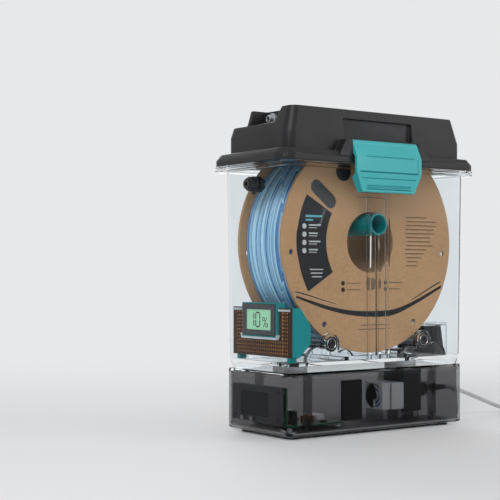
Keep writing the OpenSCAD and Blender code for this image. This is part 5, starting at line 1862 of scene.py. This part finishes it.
    def pale_prints(self) -> Object:
        """Models the scale, the dots and the lines on the black field.

        Returns:
            The joined prints.
        """
        pale = []
        tick_in, tick_start, tick_pitch, tick_w = 59.0, 152.5, 1.6, 0.35
        for i in range(9):
            angle = tick_start + i * tick_pitch
            length = 1.8 if i % 4 else 3.4
            pale.append(self.sector(f"tick_{i}", tick_in, tick_in + length, angle, angle + tick_w, self.over))
        dot_x, line_x, row_top, row_pitch = -76.0, -71.0, 184.5, 7.2
        for i in range(4):
            z = row_top - i * row_pitch
            pale.append(self.disc(f"label_dot_{i}", dot_x, z, 2.3, self.over))
            pale.append(self.rule(f"label_rule_{i}", line_x, z + 1.0, 13.0 - i % 2 * 3, 1.2, self.over))
            pale.append(self.rule(f"label_note_{i}", line_x, z - 1.3, 9.0, 0.6, self.over))
        foot_x, foot_top, foot_pitch = -70.0, 146.5, 3.2
        for i in range(3):
            x, z = foot_x + i * 1.2, foot_top - i * foot_pitch
            pale.append(self.rule(f"label_foot_{i}", x, z, 15.0 - i * 2, 0.9, self.over))
        return joined("spool_print_pale", pale)

    def prints(self, bench: Bench) -> None:
        """Makes the plain marks on the front flange.

        Args:
            bench: The bench.
        """
        flange = "spool_flange_front"
        bench.add(self.dark_prints(), flange, "print_black")
        bench.add(self.brown_prints(), flange, "print_brown")
        bench.add(self.disc("middle_mark", 1.0, 133.4, 6.0), flange, "print_brown")
        bench.add(self.pale_prints(), flange, "print_pale")
        cyan = [
            self.rule("label_head_0", -74.5, 193.4, 18.0, 1.9, self.over),
            self.rule("label_head_1", -74.5, 190.0, 8.0, 1.6, self.over),
        ]
        bench.add(joined("spool_print_cyan", cyan), flange, "print_cyan")

    def build(self, bench: Bench) -> None:
        """Makes and dresses the spool.

        Args:
            bench: The bench.
        """
        low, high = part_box("spool_flange_front")
        self.face_y = low.y
        self.centre_z = (low.z + high.z) / 2
        for side in ("front", "rear"):
            bench.rounded(f"spool_flange_{side}", f"card_flange_{side}", "spool_card", 0.35 * MM)
        bench.keep("spool_core", "core_card")
        bench.add(self.strands(), "filament_winding", "wound_blue", replaces=True)
        self.window(bench)
        self.prints(bench)


@dataclass
class AirHood:
    """The clear hood and its foam filter."""

    def build(self, bench: Bench) -> None:
        """Makes and dresses the hood."""
        bench.rounded("warm_air_hood", "air_hood_cover", "clear_insert", 0.3 * MM)
        bench.rounded("foam_filter", "foam_filter_pad", "foam_black", 0.8 * MM, 3)


@dataclass
class Dock:
    """The smoked dock with its display, buttons and feet."""

    def build(self, bench: Bench) -> None:
        """Makes and dresses the dock's shell and its fittings.

        Args:
            bench: The bench.
        """
        bench.rounded("dock_shell", "dock_cover", "smoked_dock", 0.4 * MM, sliver=3.0 * MM * MM)
        bench.keep("dock_base_plate", "black_moulding")
        bench.rounded("dock_feet", "dock_foot_pads", "soft_black", 0.4 * MM)
        bench.rounded("dock_screws", "dock_screw_set", "screw_steel", 0.15 * MM)
        bench.rounded("display_frame", "dock_display_frame", "frame_grey", 0.17 * MM)
        bench.keep("display_panel", "dock_glass")
        bench.keep("display_board", "board_green")
        bench.rounded("power_button", "power_button_cap", "frame_grey", 0.3 * MM)
        bench.rounded("timer_button", "timer_button_cap", "frame_grey", 0.3 * MM)
        bench.keep("port_gaskets", "seal_pale")
        bench.rounded("air_baffle", "air_baffle_plate", "soft_black", 0.3 * MM)
        bench.rounded("power_socket", "power_socket_block", "black_moulding", 0.3 * MM)


@dataclass
class ControlBoard:
    """The control board with separate parts on it."""

    thick: float = 1.6 * MM
    lift: float = 4.0 * MM
    inset: float = 4.0 * MM
    post: float = 2.5 * MM
    screw: Pair = (2.2 * MM, 1.2 * MM)
    rounding: float = 0.15 * MM
    chip_lift: float = 0.2 * MM
    chip_top: float = 1.6 * MM
    leg: Pair = (0.44 * MM, 1.2 * MM)
    leg_pitch: float = 1.4 * MM
    leg_out: float = 0.5 * MM
    leg_sunk: float = 0.02 * MM
    leg_top: float = 0.45 * MM

    def capacitor(self, name: str, x: float, y: float, z: float, radius: float, height: float) -> Object:
        """Models a can capacitor with a rolled rim.

        Args:
            name: Name of the part.
            x: Middle.
            y: Middle.
            z: Underside.
            radius: Radius.
            height: Height.

        Returns:
            The part.
        """
        neck = 0.35 * MM
        profile = (
            (0.0, 0.0), (radius, 0.0), (radius, height * 0.12), (radius - neck, height * 0.16),
            (radius, height * 0.2), (radius, height - neck), (radius - neck, height),
            (radius - 2.2 * neck, height - 0.5 * neck), (0.0, height - 0.5 * neck),
        )
        return turned(name, profile, (x, y, z), Vector((0, 0, 1)), steps=32)

    def chip(
        self, bench: Bench, name: str, x: float, y: float, z: float, length: float, width: float
    ) -> Object:
        """Models a chip with a row of legs on two sides.

        Args:
            bench: The bench.
            name: Name of the part.
            x: Middle.
            y: Middle.
            z: Underside.
            length: Length along X.
            width: Width along Y.

        Returns:
            The joined part.
        """
        low, high = x - length / 2, x + length / 2
        body = block(
            f"{name}_body", (low, y - width / 2, z + self.chip_lift),
            (high, y + width / 2, z + self.chip_top), self.rounding,
        )
        bench.finishes.dress(body, "black_moulding")
        half_w, half_l = self.leg[0] / 2, self.leg[1] / 2
        count = int(length / self.leg_pitch)
        legs = []
        for i in range(count):
            leg_x = low + (i + 0.5) * length / count
            for side in (-1, 1):
                leg_y = y + side * (width / 2 + self.leg_out)
                leg = block(
                    f"{name}_leg", (leg_x - half_w, leg_y - half_l, z - self.leg_sunk),
                    (leg_x + half_w, leg_y + half_l, z + self.leg_top),
                )
                legs.append(bench.finishes.dress(leg, "screw_steel"))
        return joined(name, [body, *legs])

    def build(self, bench: Bench) -> None:
        """Makes and dresses the board.

        Args:
            bench: The bench.
        """
        dress = bench.finishes.dress
        low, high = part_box("control_board")
        back = low.z + self.lift
        top = back + self.thick
        board = block("board_plate", (low.x, low.y, back), (high.x, high.y, top), self.rounding)
        parts = [dress(board, "board_green")]
        screw_radius, screw_tall = self.screw
        for x in (low.x + self.inset, high.x - self.inset):
            for y in (low.y + self.inset, high.y - self.inset):
                post = rod("board_post", self.post, (x, y, low.z), (x, y, back))
                screw = rod("board_screw", screw_radius, (x, y, top), (x, y, top + screw_tall), 24, 0.3 * MM)
                parts += [dress(post, "white_moulding"), dress(screw, "screw_steel")]
        for name, x, y, radius, height, finish in (
            ("capacitor_0", 14, -18, 4, 12, "gloss_black"),
            ("capacitor_1", 14, -8, 4, 12, "fin_aluminium"),
            ("choke", 34, -12, 6, 6, "copper_wire"),
        ):
            can = self.capacitor(name, low.x + x * MM, y * MM, top, radius * MM, height * MM)
            parts.append(dress(can, finish))
        relay = block(
            "relay", (low.x + 8 * MM, 10 * MM, top), (low.x + 28 * MM, 20 * MM, top + 8 * MM), 0.5 * MM
        )
        header = block(
            "fan_header", (high.x - 12 * MM, -6 * MM, top), (high.x - 4 * MM, 14 * MM, top + 5 * MM), 0.4 * MM
        )
        parts += [dress(relay, "gloss_black"), dress(header, "white_moulding")]
        parts.append(self.chip(bench, "controller", low.x + 36 * MM, 10 * MM, top, 9 * MM, 5 * MM))
        parts.append(self.chip(bench, "driver", low.x + 46 * MM, -20 * MM, top, 5.6 * MM, 4 * MM))
        bench.add(joined("control_board_set", parts), "control_board", None, replaces=True)


@dataclass
class Heater:
    """Fan, heater and air duct."""

    def build(self, bench: Bench) -> None:
        """Makes and dresses the heating unit.

        Args:
            bench: The bench.
        """
        bench.rounded("fan_frame", "fan_housing", "white_moulding", 0.3 * MM)
        bench.rounded("fan_rotor", "fan_wheel", "fan_blue", 0.15 * MM)
        bench.rounded("heater_case", "heater_housing", "white_moulding", 0.4 * MM)
        bench.keep("heater_core", "fin_aluminium")
        bench.rounded("warm_air_duct", "warm_air_channel", "black_moulding", 0.4 * MM)
        bench.keep("heater_bracket", "screw_steel")


@dataclass
class PowerLead:
    """Plug, lead with its coil, adapter and blades. The route is in millimetres, its turns in degrees."""

    diameter: float = 4.0 * MM
    coil_centre: Pair = (251.0, -22.0)
    coil_radii: Pair = (24.0, 20.0)
    coil_start: int = 90  # where the first round begins
    coil_turn: int = 2700  # seven and a half rounds
    coil_step: int = 15
    slot_turn: int = 340  # each round has its own radius and height up to here
    change_turn: int = 40  # and moves to the next one's over this
    run: tuple[Point, ...] = (
        (124.5, 0, 31), (128, 0, 30.8), (135, 0, 29.6), (144, 0, 27), (155, 0, 23.5), (166, 0, 19.5),
        (177, 0, 15.5), (188, 0, 11.5), (199, -0.5, 7.5), (209, -1.5, 4.4), (219, -1.8, 2.6),
        (228, -1.2, 2.0), (237, 0.4, 2.0), (245, 1.6, 2.0),
    )
    tail: tuple[Point, ...] = (
        (243, -46, 13.9), (236, -46, 11.5), (229, -46, 8.0), (222, -46, 4.6), (215.5, -46, 2.6),
        (208, -46.8, 2.0), (200, -50.8, 2.0), (195, -57.5, 2.0), (193.2, -66, 2.4), (195, -74.5, 4.6),
        (200, -81.2, 8.0), (206, -84.8, 10.6), (211, -86, 11.8), (215, -86, 12.0),
    )

    def coil(self) -> list[Point]:
        """Returns the points of the coil, from the first turn to the last, in millimetres."""
        outer, inner = self.coil_radii
        slots = [
            (outer, 2), (inner, 2), (inner, 6), (outer, 6),
            (outer, 10), (inner, 10), (inner, 14), (outer, 14),
        ]
        centre_x, centre_y = self.coil_centre
        points = []
        for travelled in range(0, self.coil_turn + 1, self.coil_step):
            radius, height = slots[0]
            for i, (slot, following) in enumerate(zip(slots, slots[1:])):
                over = (travelled - self.slot_turn * (i + 1)) / self.change_turn + 1
                share = min(1.0, max(0.0, over))
                share = share * share * (3 - 2 * share)  # eases in and out
                radius += (following[0] - slot[0]) * share
                height += (following[1] - slot[1]) * share
            angle = math.radians(self.coil_start - travelled)
            points.append((centre_x + radius * math.cos(angle), centre_y + radius * math.sin(angle), height))
        return points

    def route(self) -> list[Point]:
        """Returns the lead's whole route in metres."""
        return [(x * MM, y * MM, z * MM) for x, y, z in (*self.run, *self.coil(), *self.tail)]

    def build(self, bench: Bench) -> None:
        """Makes and dresses the lead and its ends.

        Args:
            bench: The bench.
        """
        route = self.route()
        curve = bpy.data.curves.new("power_lead_jacket", "CURVE")
        curve.dimensions = "3D"
        curve.bevel_depth = self.diameter / 2
        curve.bevel_resolution = 3
        curve.use_fill_caps = True
        spline = curve.splines.new("POLY")
        spline.points.add(len(route) - 1)
        for point, place in zip(spline.points, route):
            point.co = (*place, 1.0)
        spline.use_smooth = True
        obj = bpy.data.objects.new("power_lead_jacket", curve)
        bpy.context.scene.collection.objects.link(obj)
        length = sum((Vector(b) - Vector(a)).length for a, b in zip(route, route[1:]))
        obj.data.materials.append(bench.finishes.get("lead_grey"))
        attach(obj, "dock")
        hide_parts("power_lead", "lead_coil", "lead_tail")
        plug = bench.rounded("power_plug", "power_plug_body", "gloss_black", 0.25 * MM)
        brick = bench.rounded("power_adapter", "power_adapter_case", "gloss_black", 1.2 * MM, 3)
        blades = bench.rounded("adapter_blades", "adapter_blade_pair", "contact_brass", 0.2 * MM)
        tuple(route[0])
        LOG.info("power lead is %.3f m long", length)


def main() -> None:
    """Builds every sub-assembly in order."""
    logging.basicConfig(level=logging.INFO, format="%(name)s: %(message)s")
    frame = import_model()
    bench = Bench(frame)
    Studio().build()
    PowerLead().build(bench)
    for assembly in (
        Lid(), Latches(), ClearBox(), RollerCradle(), Desiccant(), Hygrometer(), Spool(), AirHood(), Dock(),
        ControlBoard(), Heater(),
    ):
        assembly.build(bench)
        LOG.info("%s is done", type(assembly).__name__)
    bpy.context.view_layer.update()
    LOG.info("%d pieces", bench.count)


if __name__ == "__main__":
    main()
